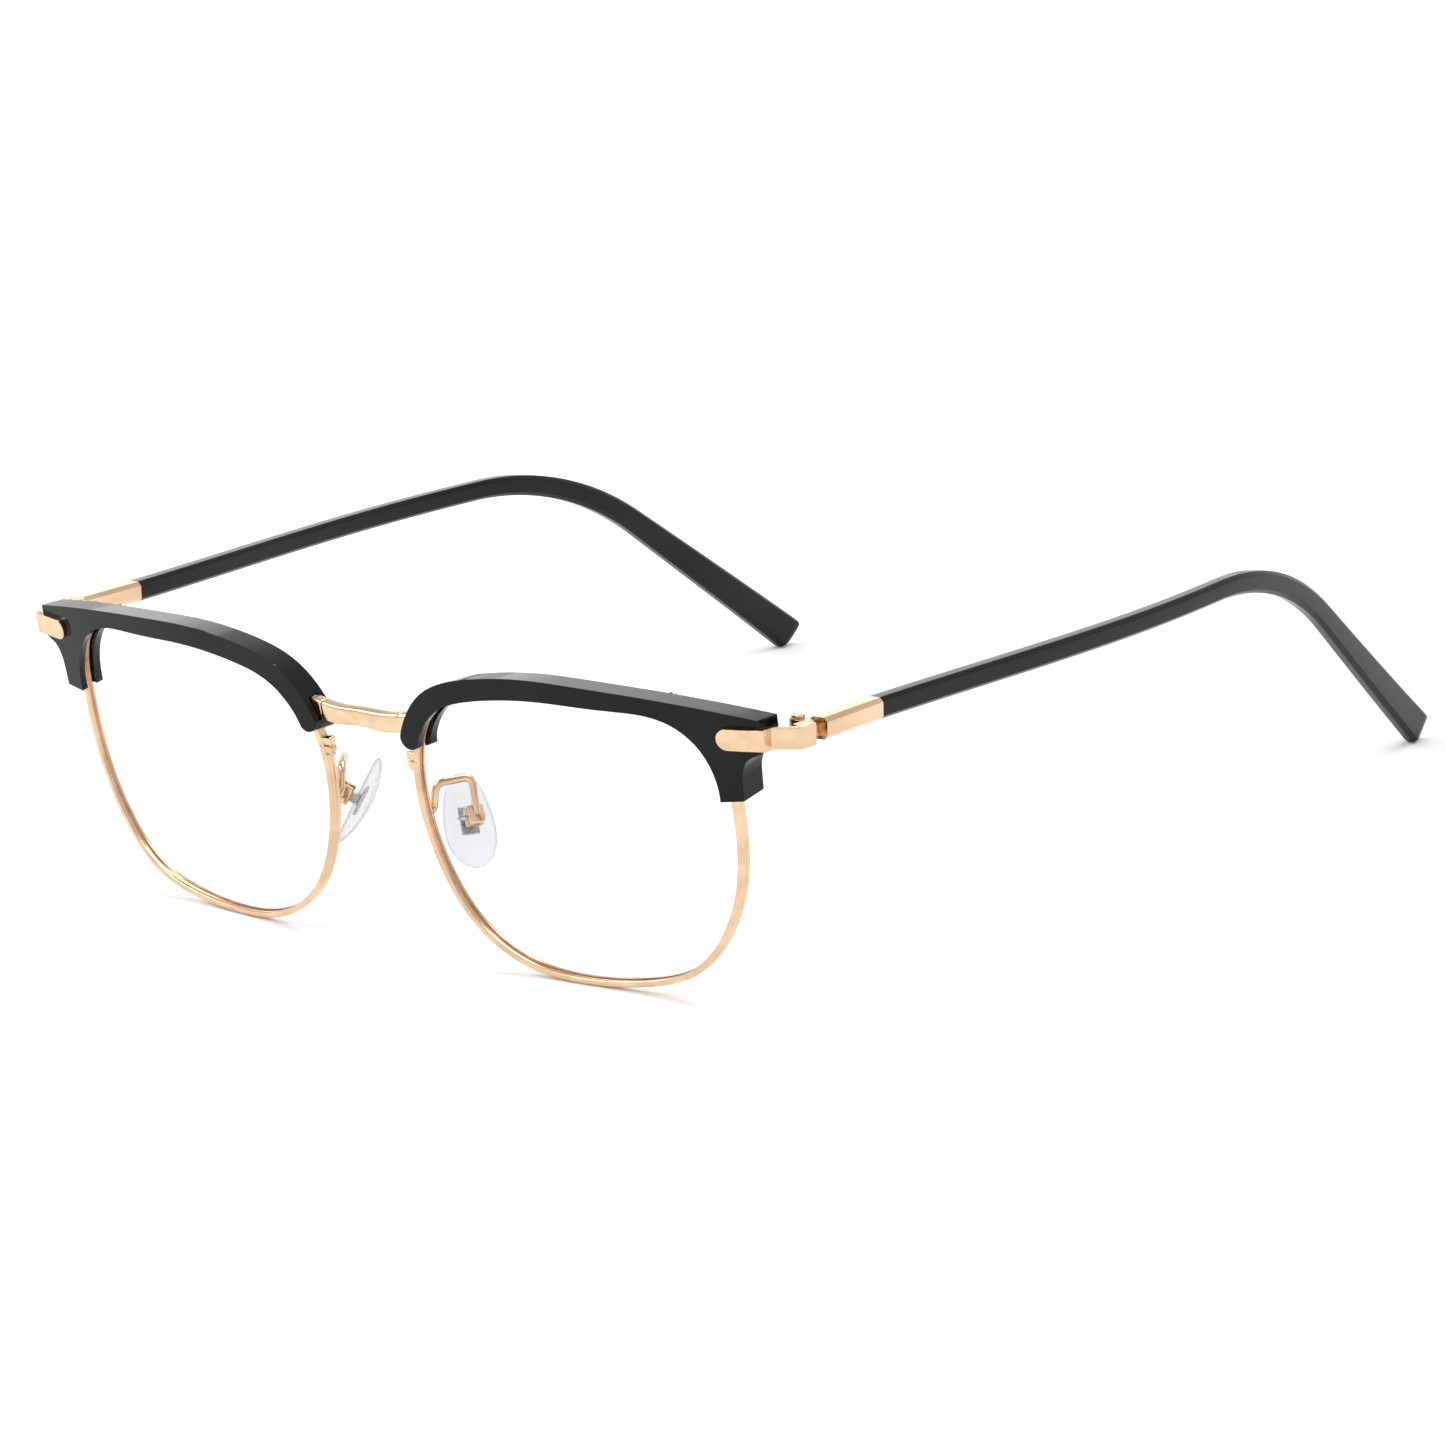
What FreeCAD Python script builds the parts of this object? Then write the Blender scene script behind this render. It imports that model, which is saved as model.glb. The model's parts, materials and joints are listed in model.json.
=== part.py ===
import FreeCAD, Part

import math
import os

Vector = FreeCAD.Vector

# Half rim (browline) eyeglasses, in millimetres and degrees.
# +X is the wearer's left, the front faces -Y, the temples run to +Y and +Z is up.
# The glasses stand on the bottoms of the eyewires and on the temple tips at z = 0.
# The front is drawn upright, as (across, depth, height), and is then leaned forward.

# ---- driving dimensions ----
PANTOSCOPIC_TILT = 10.0   # lean of the front, top forward
FACE_RADIUS = 226.0       # curve of the front in plan
FACE_VERTEX = 10.0        # distance from the middle to the foremost line of each side

NOSE_GAP = 15.6           # between the two eyewires
EYE_WIDTH = 51.4          # outside width of one eyewire
EYE_HEIGHT = 43.5         # outside height of one eyewire
EYEWIRE_WIDTH = 0.9       # seen from the front
EYEWIRE_DEPTH = 1.6       # front to back
GROOVE_DEPTH = 0.35
GROOVE_WIDTH = 0.7

LENS_THICKNESS = 1.4
LENS_GAP = 0.05           # round the lens edge and each side of its tongue

CAP_LIP = 1.5             # cap edge inside the eyewire's outer edge
CAP_OVER_TOP = 1.5        # cap edge above the eyewire
CAP_OVER_NOSE = 1.5       # cap edge beside the eyewire at the nose
CAP_FRONT = 1.2           # cap face ahead of the eyewire
CAP_DEPTH = 4.2
CAP_GAP = 0.08            # eyewire to the walls of its channel
CAP_END_WIDTH = 5.2       # from the eyewire's outer edge to the cap's outer end
CAP_END_DROP = 2.4        # outer top corner below the crest
CAP_END_EASE = 0.35       # share of that drop halfway from the crest to the corner
CAP_TOP_SLOPE = 0.18      # fall of the cap's top towards its back
CAP_CREST_SHARE = 0.74    # where the crest is, as a share of the way round the eyewire
CAP_NOSE_BLEND = 1.4      # how fast the edge at the nose thins to the one on top
NOSE_REACH = 11.6         # crest of the cap to its nose end
NOSE_ROUND = 1.3          # the nose end bulges down by this
NOSE_SHARES = (0.90, 1.10)    # the nose side, as shares of the way round the eyewire
LEG_SHARES = (0.50, 0.62)     # the leg's side
LOBE_HEIGHT = 5.7         # end of the cap, top corner to its lower corner
LOBE_CUT = 1.2            # lower corner of the lobe, cut back by this
LOBE_FALL = 0.5           # and down by this, to where the scoop starts
SCOOP_EASE = 0.4          # how squarely the scoop turns
LEG_WIDTH = 3.4
LEG_REACH = 15.2          # crest of the cap to the bottom of its leg
LEG_SIDE = 3.6            # straight stretch below the scoop
LEG_FLARE = 0.2           # leg wider at the top
LEG_SLANT = 0.3           # outer end of the leg's bottom, higher than its inner end
NOSE_PAST = 0.3           # the nose end's arc runs past the inner edge
CLEAR = 5.0               # cutting shapes reach this far past what they cut

BRIDGE_HEIGHT = 2.9
BRIDGE_DEPTH = 1.9
BRIDGE_DROP = 9.6         # crest of the cap to the bridge's middle
BRIDGE_ARCH = 0.6         # forward, in the middle
BRIDGE_FORWARD = 0.2      # ahead of the eyewires' fronts
BRIDGE_REACH = 3.0        # past the narrowest part of the nose gap
BRIDGE_ROUND = 0.5

STRIP_THICKNESS = 1.1     # endpiece metal
STRIP_HEIGHT = 3.0
PLAQUE_LENGTH = 5.6
PLAQUE_THICKNESS = 0.7
PLAQUE_DROP = 6.0         # crest of the cap to the plaque's middle
STRIP_SWELL = 3.2         # how far the strip steps outward before the hinge
STEP_START = 1.4          # behind the corner
STEP_END = 4.6
STRIP_SHORT = 0.9         # ahead of the hinge axis
RIVET_RADIUS = 0.5
RIVET_REACH = 2.6
RIVET_INSET = 1.1         # outer rivet, in from the cap's end

KNUCKLE_RADIUS = 1.25
HINGE_INSET = 1.3         # barrel inward of the strip's inner face
HINGE_SETBACK = 7.9       # corner of the endpiece back to the hinge axis
HINGE_SCREW_RADIUS = 0.6
SCREW_FIT = 0.04          # radial running clearance
KNUCKLE_GAP = 0.05
HINGE_PLATE = 1.0
HINGE_HEAD_RADIUS = 0.95
HINGE_HEAD_HEIGHT = 0.4

SLEEVE_LENGTH = 12.4
SLEEVE_THICKNESS = 2.9
SLEEVE_HEIGHT = 3.0
SLEEVE_CHAMFER = 0.55
SWING_GAP = 0.25          # sleeve to the knuckles of the other leaf
TANG_LENGTH = 3.0

TEMPLE_THICKNESS = 2.6
TEMPLE_HEIGHT = 3.0       # at the sleeve
TIP_HEIGHT = 5.7
BEND_REACH = 100.0        # sleeve to the corner of the ear bend
BEND_RADIUS = 60.0
BEND_ANGLE = 36.0
TEMPLE_BOW = 3.2          # outward, at the widest
TIP_CURVE = 6.4           # inward, at the tip
TIP_RAKE = 15.0
TIP_ROUND = 1.1

CORE_HEIGHT = 1.0
CORE_THICKNESS = 0.8
CORE_GAP = 0.05
CORE_END_ROUND = 0.2
CORE_IN_SLEEVE = 6.0
CORE_SHORT = 22.0         # the core ends this far before the tip, along Y

LOCK_HEIGHT = 2.4
LOCK_WIDTH = 1.45
LOCK_SLIT = 0.25
LOCK_INSET = 0.15         # block short of the eyewire's front and back
LOCK_DROP = 15.1          # crest of the cap to the slit
LOCK_SCREW_RADIUS = 0.35
LOCK_HEAD_RADIUS = 0.45
LOCK_HEAD_HEIGHT = 0.35

SLOT_LENGTH = 1.0         # driver slots in the screw heads, each way from the middle
SLOT_WIDTH = 0.2
SLOT_DEPTH = 0.15

PAD_LENGTH = 13.6
PAD_WIDTH = 7.2
PAD_THICKNESS = 2.3
PAD_ACROSS = 9.5          # the pad's centre, from the middle
PAD_BEHIND = 7.3          # and behind the front surface's foremost line
PAD_DROP = 26.9           # and below the crest of the cap
PAD_AXIS = Vector(-0.40, 0.38, 0.83)      # bottom to top
PAD_FACE = Vector(-0.85, 0.50, 0.0)       # roughly, towards the nose
PAD_STEM = 2.9                            # pad's middle plane to its screw
PAD_TAB = 0.9
PAD_TAB_RADIUS = 1.0
INSERT_WIDTH = 2.6
INSERT_LENGTH = 4.0
INSERT_THICKNESS = 0.5
INSERT_COVER = 0.5        # pad left behind the insert's plate
INSERT_FIT = 0.01
STEM_WIDTH = 1.6
PAD_EDGE = 0.4            # share of the thickness left at the pad's ends
BOX_WALL = 0.6
BOX_LENGTH = 2.6
BOX_FIT = 0.1             # each side of the tab
BOX_DEEP = 0.25           # behind the tab's rounded end
PAD_SCREW_RADIUS = 0.45
PAD_HEAD_RADIUS = 0.85
PAD_SCREW_HEAD = 0.4
PAD_SCREW_TIP = 0.5
ARM_RADIUS = 0.5
ARM_DROP = 6.9            # rim lock to the arm's root
ARM_STANDOFF = 2.6        # straight out of the eyewire's back
ARM_LEAD = 3.0            # straight down into the box
ARM_RISE = 1.2
ARM_BENDS = [1.1, 1.1, 1.1]

CAP_SCREW_SHARES = (0.855, 0.655)     # their places, as shares of the way round the eyewire
CAP_SCREW_RADIUS = 0.4
CAP_SCREW_HEAD = 0.85
CAP_SCREW_HEAD_HEIGHT = 0.4

# Outer edge of the left eyewire, anticlockwise from the nose side, as shares of its
# width and height.
EYE_SHAPE = [
    (0.000, 0.549), (0.035, 0.344), (0.132, 0.144), (0.276, 0.034), (0.451, 0.000),
    (0.646, 0.016), (0.811, 0.077), (0.924, 0.226), (0.986, 0.424), (1.000, 0.640),
    (0.975, 0.834), (0.870, 0.959), (0.665, 0.993), (0.471, 1.000), (0.276, 0.979),
    (0.105, 0.904), (0.021, 0.754),
]
# The temple from above: share of its length, share of the bow, share of the tip's curve.
TEMPLE_SHAPE = [
    (0.00, 0.00, 0.0), (0.20, 0.66, 0.0), (0.38, 1.00, 0.0), (0.56, 0.50, 0.0),
    (0.78, 0.00, 0.4), (1.00, 0.00, 1.0),
]
# Right half of a nose pad, from its bottom up, as shares of its half width and half length.
PAD_SHAPE = [(0.74, -0.74), (1.0, -0.22), (0.86, 0.37), (0.53, 0.82)]
EDGE_SAMPLES = 40         # points round an offset edge
CAP_TOP_STEPS = 8
CAP_INNER_STEPS = 13
PLAN_STEPS = 14           # points along each side of a temple
HALVINGS = 40             # of the search for a height on the eyewire

# ---- worked out from the driving dimensions ----
NOSE_EDGE = NOSE_GAP / 2
OUTER_EDGE = NOSE_EDGE + EYE_WIDTH
CAP_END = OUTER_EDGE + CAP_END_WIDTH
CREST = EYE_HEIGHT + CAP_OVER_TOP
STRIP_OUT = CAP_END + STRIP_THICKNESS
TALL = 4 * EYE_HEIGHT     # longer than any cut needs
AHEAD, BEHIND = -20.0, 40.0   # depths that reach past every piece of the front


def box(x0, x1, y0, y1, z0, z1):
    return Part.makeBox(x1 - x0, y1 - y0, z1 - z0, Vector(x0, y0, z0))


def rod(radius, start, end):
    axis = end.sub(start)
    return Part.makeCylinder(radius, axis.Length, start, axis)


def prism(wire, depth_from, depth_to):
    """A closed outline in the XZ plane, extruded along Y."""
    face = Part.Face(wire)
    face.translate(Vector(0, depth_from, 0))
    return face.extrude(Vector(0, depth_to - depth_from, 0))


def front_layer(start, end):
    """The space between two depths behind the curved front surface of the left side."""
    axis_point = Vector(FACE_VERTEX, FACE_RADIUS, -TALL / 2)
    outer = Part.makeCylinder(FACE_RADIUS - start, TALL, axis_point)
    inner = Part.makeCylinder(FACE_RADIUS - end, TALL, axis_point)
    return outer.cut(inner)


def front_depth(across, layer=0):
    """Depth, at a distance from the middle, of the surface a layer behind the curved front."""
    reach = across - FACE_VERTEX
    return FACE_RADIUS - math.sqrt((FACE_RADIUS - layer) ** 2 - reach ** 2)


def eye_curve():
    points = [Vector(NOSE_EDGE + a * EYE_WIDTH, 0, b * EYE_HEIGHT) for a, b in EYE_SHAPE]
    curve = Part.BSplineCurve()
    curve.interpolate(Points=points, PeriodicFlag=True)
    return curve


EYE = eye_curve()


def eye_point(share, outward):
    """A point beside the eyewire's edge, a share of the way round from the nose side."""
    first, last = EYE.FirstParameter, EYE.LastParameter
    where = first + (last - first) * (share % 1.0)
    along = EYE.tangent(where)[0]
    return EYE.value(where).add(Vector(along.z, 0, -along.x).multiply(outward))


def eye_outline(outward):
    points = [eye_point(i / EDGE_SAMPLES, outward) for i in range(EDGE_SAMPLES)]
    curve = Part.BSplineCurve()
    curve.interpolate(Points=points, PeriodicFlag=True)
    return Part.Wire(curve.toShape())


def eye_slice(outward, start, end):
    """The eye outline, grown outward, between two depths behind the front surface."""
    return prism(eye_outline(outward), AHEAD, BEHIND).common(front_layer(start, end))


def share_at_height(height, share_low, share_high):
    """Share of the way round the eyewire at which its edge reaches a height."""
    rising = eye_point(share_high, 0).z > eye_point(share_low, 0).z
    for _ in range(HALVINGS):
        middle = (share_low + share_high) / 2
        if (eye_point(middle, 0).z < height) == rising:
            share_low = middle
        else:
            share_high = middle
    return (share_low + share_high) / 2


# ---- eyewire, rim lock and lens ----

LOCK_Z = CREST - LOCK_DROP


def lock_x():
    return eye_point(share_at_height(LOCK_Z, *NOSE_SHARES), 0).x


def lock_screw_line():
    return lock_x() - LOCK_WIDTH / 2, EYEWIRE_DEPTH / 2


def eyewire():
    opening = prism(eye_outline(-EYEWIRE_WIDTH), AHEAD, BEHIND)
    ring = eye_slice(0, 0, EYEWIRE_DEPTH).cut(opening)
    middle = EYEWIRE_DEPTH / 2
    groove = eye_slice(GROOVE_DEPTH - EYEWIRE_WIDTH, middle - GROOVE_WIDTH / 2,
                       middle + GROOVE_WIDTH / 2)
    ring = ring.cut(groove)
    edge = lock_x()
    low, high = LOCK_Z - LOCK_HEIGHT / 2, LOCK_Z + LOCK_HEIGHT / 2
    ring = ring.fuse(box(edge - LOCK_WIDTH, edge + EYEWIRE_WIDTH / 2, LOCK_INSET,
                         EYEWIRE_DEPTH - LOCK_INSET, low, high))
    x, y = lock_screw_line()
    ring = ring.cut(rod(LOCK_SCREW_RADIUS, Vector(x, y, low), Vector(x, y, high)))
    half_slit = LOCK_SLIT / 2
    slit = box(edge - 2 * LOCK_WIDTH, edge + 2 * EYEWIRE_WIDTH, AHEAD, BEHIND,
               LOCK_Z - half_slit, LOCK_Z + half_slit)
    return ring.cut(slit)


def rim_lock_screw():
    x, y = lock_screw_line()
    low = LOCK_Z - LOCK_HEIGHT / 2
    high = LOCK_Z + LOCK_HEIGHT / 2
    shank = rod(LOCK_SCREW_RADIUS, Vector(x, y, low), Vector(x, y, high))
    head = rod(LOCK_HEAD_RADIUS, Vector(x, y, low - LOCK_HEAD_HEIGHT), Vector(x, y, low))
    bottom = low - LOCK_HEAD_HEIGHT
    drive = box(x - SLOT_LENGTH, x + SLOT_LENGTH, y - SLOT_WIDTH / 2, y + SLOT_WIDTH / 2,
                bottom - SLOT_DEPTH, bottom + SLOT_DEPTH)
    return shank.fuse(head).cut(drive)


def lens():
    middle = EYEWIRE_DEPTH / 2
    body = eye_slice(-EYEWIRE_WIDTH - LENS_GAP, middle - LENS_THICKNESS / 2,
                     middle + LENS_THICKNESS / 2)
    tongue_half = GROOVE_WIDTH / 2 - LENS_GAP
    tongue = eye_slice(GROOVE_DEPTH - EYEWIRE_WIDTH - LENS_GAP, middle - tongue_half,
                       middle + tongue_half)
    return body.fuse(tongue)


# ---- brow cap ----

def interpolated(points):
    curve = Part.BSplineCurve()
    curve.interpolate(Points=points)
    return curve.toShape()


def loop(corners):
    """Straight runs through the corners, left open at the end."""
    return [Part.makeLine(a, b) for a, b in zip(corners, corners[1:])]


def cap_top_points():
    """The cap's top edge from the front, from its nose end to its outer corner."""
    nose_share = share_at_height(CREST - NOSE_REACH, *NOSE_SHARES)
    points = []
    for i in range(CAP_TOP_STEPS + 1):
        part = i / CAP_TOP_STEPS
        thinned = min(1, CAP_NOSE_BLEND * part)
        over = CAP_OVER_NOSE + (CAP_OVER_TOP - CAP_OVER_NOSE) * thinned
        points.append(eye_point(nose_share + (CAP_CREST_SHARE - nose_share) * part, over))
    corner = Vector(CAP_END, 0, CREST - CAP_END_DROP)
    easing = Vector((points[-1].x + corner.x) / 2, 0, CREST - CAP_END_DROP * CAP_END_EASE)
    return points + [easing, corner]


def cap_inner_points():
    """The cap's edge over the lens, from its leg to its nose end."""
    leg_share = share_at_height(CREST - LEG_REACH, *LEG_SHARES)
    nose_share = share_at_height(CREST - NOSE_REACH, *NOSE_SHARES)
    return [eye_point(leg_share + (nose_share - leg_share) * i / CAP_INNER_STEPS, -CAP_LIP)
            for i in range(CAP_INNER_STEPS + 1)]


def cap_sides():
    """The inner edge, leg, scoop and lobe, with room to spare above and at the nose."""
    inner = cap_inner_points()
    foot, nose = inner[0], inner[-1]
    lobe = Vector(CAP_END, 0, CREST - CAP_END_DROP - LOBE_HEIGHT)
    leg_out = foot.add(Vector(LEG_WIDTH, 0, LEG_SLANT))
    scoop_top = lobe.add(Vector(-LOBE_CUT, 0, -LOBE_FALL))
    scoop_end = leg_out.add(Vector(LEG_FLARE, 0, LEG_SIDE - LEG_SLANT))
    scoop = Part.BezierCurve()
    scoop.setPoles([scoop_top, Vector(scoop_end.x + SCOOP_EASE, 0, scoop_top.z - SCOOP_EASE),
                    scoop_end])
    room = [nose, Vector(nose.x, 0, nose.z - CLEAR), Vector(0, 0, nose.z - CLEAR),
            Vector(0, 0, CREST + CLEAR), Vector(CAP_END, 0, CREST + CLEAR), lobe, scoop_top]
    edges = loop(room) + [scoop.toShape()] + loop([scoop_end, leg_out, foot])
    return Part.Wire(edges + [interpolated(inner)])


def cap_top():
    """The top edge and the rounded nose end, with room to spare below and outside."""
    top = cap_top_points()
    nose = cap_inner_points()[-1]
    nose_bottom = nose.add(top[0]).multiply(0.5).add(Vector(0, 0, -NOSE_ROUND))
    past_nose = nose.add(Vector(NOSE_PAST, 0, NOSE_PAST))
    corner = top[-1]
    outside = Vector(corner.x + CLEAR, 0, corner.z)
    room = [corner, outside, Vector(outside.x, 0, -TALL), Vector(nose.x + CLEAR, 0, -TALL),
            past_nose]
    return Part.Wire([interpolated(top)] + loop(room)
                     + [Part.Arc(past_nose, nose_bottom, top[0]).toShape()])


def cap_blank():
    """The cap before its channel: its top falls towards the back."""
    sides = prism(cap_sides(), AHEAD, BEHIND)
    face = Part.Face(cap_top())
    face.translate(Vector(0, AHEAD, -AHEAD * CAP_TOP_SLOPE))
    reach = BEHIND - AHEAD
    under_top = face.extrude(Vector(0, reach, -reach * CAP_TOP_SLOPE))
    return sides.common(under_top).common(front_layer(-CAP_FRONT, CAP_DEPTH - CAP_FRONT))


def cap_screw_spots():
    """Across and height of the two screws that hold the cap to the eyewire."""
    return [eye_point(share, -EYEWIRE_WIDTH / 2) for share in CAP_SCREW_SHARES]


def deepest(across, radius, layer):
    """A layer's greatest depth under a round head or tip."""
    return max(front_depth(across - radius, layer), front_depth(across + radius, layer))


def cap_screws():
    """Short screws through the cap's back lip that clamp the eyewire, one at each end."""
    screws = []
    for spot in cap_screw_spots():
        tip = deepest(spot.x, CAP_SCREW_RADIUS, EYEWIRE_DEPTH)
        back = deepest(spot.x, CAP_SCREW_HEAD, CAP_DEPTH - CAP_FRONT)
        top = back + CAP_SCREW_HEAD_HEIGHT
        shank = rod(CAP_SCREW_RADIUS, Vector(spot.x, tip, spot.z), Vector(spot.x, back, spot.z))
        head = rod(CAP_SCREW_HEAD, Vector(spot.x, back, spot.z), Vector(spot.x, top, spot.z))
        drive = box(spot.x - SLOT_LENGTH, spot.x + SLOT_LENGTH, top - SLOT_DEPTH, top + SLOT_DEPTH,
                    spot.z - SLOT_WIDTH / 2, spot.z + SLOT_WIDTH / 2)
        screws.append(shank.fuse(head).cut(drive))
    return screws


def brow_cap():
    channel = eye_slice(CAP_GAP, -CAP_GAP, EYEWIRE_DEPTH + CAP_GAP)
    cap = cap_blank().cut(channel).cut(bridge_bar(CAP_GAP))
    for spot in cap_screw_spots():
        mid_eyewire = front_depth(spot.x) + EYEWIRE_DEPTH / 2
        hole = rod(CAP_SCREW_RADIUS, Vector(spot.x, mid_eyewire, spot.z),
                   Vector(spot.x, BEHIND, spot.z))
        cap = cap.cut(hole)
    for spot in rivet_spots():
        face = front_depth(spot.x) - CAP_FRONT
        cap = cap.cut(rod(RIVET_RADIUS, Vector(spot.x, AHEAD, spot.z),
                          Vector(spot.x, face + RIVET_REACH, spot.z)))
    return cap


# ---- bridge ----

BRIDGE_Z = CREST - BRIDGE_DROP


def bridge_bar(grown, rounding=0.0):
    """The bar across the nose, grown on every side, up to the eyewires' outer edges."""
    half = NOSE_EDGE + BRIDGE_REACH
    front = -BRIDGE_FORWARD - BRIDGE_ARCH - grown
    back = front + BRIDGE_DEPTH + 2 * grown
    sweep = BRIDGE_ARCH * (half / NOSE_EDGE) ** 2
    low = BRIDGE_Z - BRIDGE_HEIGHT / 2 - grown
    front_ends = [Vector(-half, front + sweep, low), Vector(half, front + sweep, low)]
    back_ends = [Vector(half, back + sweep, low), Vector(-half, back + sweep, low)]
    edges = [
        Part.Arc(front_ends[0], Vector(0, front, low), front_ends[1]).toShape(),
        Part.makeLine(front_ends[1], back_ends[0]),
        Part.Arc(back_ends[0], Vector(0, back, low), back_ends[1]).toShape(),
        Part.makeLine(back_ends[1], front_ends[0]),
    ]
    bar = Part.Face(Part.Wire(edges)).extrude(Vector(0, 0, BRIDGE_HEIGHT + 2 * grown))
    if rounding:
        bar = bar.makeFillet(rounding, [edge for edge in bar.Edges if edge.Length > NOSE_GAP])
    eye = prism(eye_outline(-grown), AHEAD, BEHIND)
    return bar.cut(eye).cut(eye.mirror(Vector(0, 0, 0), Vector(1, 0, 0)))


def bridge():
    return bridge_bar(0, BRIDGE_ROUND)


# ---- endpiece ----

PLAQUE_Z = CREST - PLAQUE_DROP


def plaque_outline():
    half = STRIP_HEIGHT / 2
    start = STRIP_OUT - STRIP_THICKNESS - PLAQUE_LENGTH + half
    end = STRIP_OUT
    low, high = PLAQUE_Z - half, PLAQUE_Z + half
    edges = [
        Part.makeLine(Vector(start, 0, low), Vector(end, 0, low)),
        Part.makeLine(Vector(end, 0, low), Vector(end, 0, high)),
        Part.makeLine(Vector(end, 0, high), Vector(start, 0, high)),
        Part.Arc(Vector(start, 0, high), Vector(start - half, 0, PLAQUE_Z),
                 Vector(start, 0, low)).toShape(),
    ]
    return Part.Wire(edges)


def rivet_spots():
    first = CAP_END - PLAQUE_LENGTH + STRIP_HEIGHT / 2
    return [Vector(first, 0, PLAQUE_Z), Vector(CAP_END - RIVET_INSET, 0, PLAQUE_Z)]


def rivets():
    """Pins that hold the plaque to the cap, one behind the other end."""
    pins = []
    for spot in rivet_spots():
        face = front_depth(spot.x) - CAP_FRONT
        pins.append(rod(RIVET_RADIUS, Vector(spot.x, deepest(spot.x, RIVET_RADIUS, -CAP_FRONT), spot.z),
                        Vector(spot.x, face + RIVET_REACH, spot.z)))
    return pins


def plaque():
    """The gold plate on the cap's front, drawn with the upright front."""
    return prism(plaque_outline(), AHEAD, BEHIND).common(
        front_layer(-CAP_FRONT - PLAQUE_THICKNESS, -CAP_FRONT))


# ---- leaning the front ----

def leaned(shape):
    turned = shape.copy()
    turned.rotate(Vector(0, 0, 0), Vector(1, 0, 0), PANTOSCOPIC_TILT)
    return turned


LEFT_EYEWIRE = eyewire()
FRONT_LIFT = -leaned(LEFT_EYEWIRE).optimalBoundingBox(False).ZMin


def stood(shape):
    """The upright front, leaned forward and lifted onto the table."""
    placed = leaned(shape)
    placed.translate(Vector(0, 0, FRONT_LIFT))
    return placed


def stood_point(point):
    return FreeCAD.Rotation(Vector(1, 0, 0), PANTOSCOPIC_TILT).multVec(point).add(
        Vector(0, 0, FRONT_LIFT))


# ---- hinge places, as the glasses stand ----
PLAQUE_FACE = front_depth(STRIP_OUT) - CAP_FRONT - PLAQUE_THICKNESS
CORNER = stood_point(Vector(STRIP_OUT, PLAQUE_FACE, PLAQUE_Z))
STRIP_END_X = STRIP_OUT + STRIP_SWELL
STRIP_INNER_X = STRIP_END_X - STRIP_THICKNESS
HINGE_X = STRIP_INNER_X - HINGE_INSET - KNUCKLE_RADIUS
HINGE_Y = CORNER.y + HINGE_SETBACK
HINGE_Z = CORNER.z
HINGE_LOW = HINGE_Z - STRIP_HEIGHT / 2
KNUCKLE_HEIGHT = STRIP_HEIGHT / 3
SLEEVE_FRONT = HINGE_Y + KNUCKLE_RADIUS + SWING_GAP
SLEEVE_BACK = SLEEVE_FRONT + SLEEVE_LENGTH
SLEEVE_X = STRIP_END_X - SLEEVE_THICKNESS / 2
BEND_Y = SLEEVE_BACK + BEND_REACH


def strip():
    """The side of the endpiece: straight past the cap, then stepping out to the hinge."""
    step_start = CORNER.y + STEP_START
    step_end = CORNER.y + STEP_END
    end = HINGE_Y - STRIP_SHORT
    step_middle = (step_start + step_end) / 2

    def step(shift):
        curve = Part.BezierCurve()
        curve.setPoles([
            Vector(STRIP_OUT - shift, step_start, 0), Vector(STRIP_OUT - shift, step_middle, 0),
            Vector(STRIP_END_X - shift, step_middle, 0), Vector(STRIP_END_X - shift, step_end, 0),
        ])
        return curve.toShape()

    front = CORNER.y - CLEAR
    inner = STRIP_THICKNESS
    edges = [
        Part.makeLine(Vector(STRIP_OUT, front, 0), Vector(STRIP_OUT, step_start, 0)),
        step(0),
        Part.makeLine(Vector(STRIP_END_X, step_end, 0), Vector(STRIP_END_X, end, 0)),
        Part.makeLine(Vector(STRIP_END_X, end, 0), Vector(STRIP_INNER_X, end, 0)),
        Part.makeLine(Vector(STRIP_INNER_X, end, 0), Vector(STRIP_INNER_X, step_end, 0)),
        step(inner),
        Part.makeLine(Vector(STRIP_OUT - inner, step_start, 0), Vector(STRIP_OUT - inner, front, 0)),
        Part.makeLine(Vector(STRIP_OUT - inner, front, 0), Vector(STRIP_OUT, front, 0)),
    ]
    face = Part.Face(Part.Wire(Part.sortEdges(edges)[0]))
    face.translate(Vector(0, 0, HINGE_LOW))
    bar = face.extrude(Vector(0, 0, STRIP_HEIGHT))
    return bar.common(stood(front_layer(-CAP_FRONT - PLAQUE_THICKNESS, TALL)))


def endpiece():
    return stood(plaque()).fuse(strip()).removeSplitter()


# ---- hinge ----

def knuckle(level):
    low = HINGE_LOW + level * KNUCKLE_HEIGHT
    bottom = low if level == 0 else low + KNUCKLE_GAP / 2
    top = low + KNUCKLE_HEIGHT - (0 if level == 2 else KNUCKLE_GAP / 2)
    return rod(KNUCKLE_RADIUS, Vector(HINGE_X, HINGE_Y, bottom), Vector(HINGE_X, HINGE_Y, top))


def hinge_bore(radius):
    return rod(radius, Vector(HINGE_X, HINGE_Y, HINGE_LOW - CLEAR),
               Vector(HINGE_X, HINGE_Y, HINGE_LOW + STRIP_HEIGHT + CLEAR))


def hinge_front():
    """Plate on the strip with the top and bottom knuckles."""
    plate_back = HINGE_Y - KNUCKLE_RADIUS - SWING_GAP / 2
    leaf = box(STRIP_INNER_X - HINGE_PLATE, STRIP_INNER_X, CORNER.y + STEP_END, plate_back,
               HINGE_LOW, HINGE_LOW + STRIP_HEIGHT)
    for level in (0, 2):
        barrel = knuckle(level)
        span = barrel.BoundBox
        web = box(HINGE_X, STRIP_INNER_X, plate_back, HINGE_Y, span.ZMin, span.ZMax)
        leaf = leaf.fuse(barrel).fuse(web)
    return leaf.removeSplitter().cut(hinge_bore(HINGE_SCREW_RADIUS))


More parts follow.
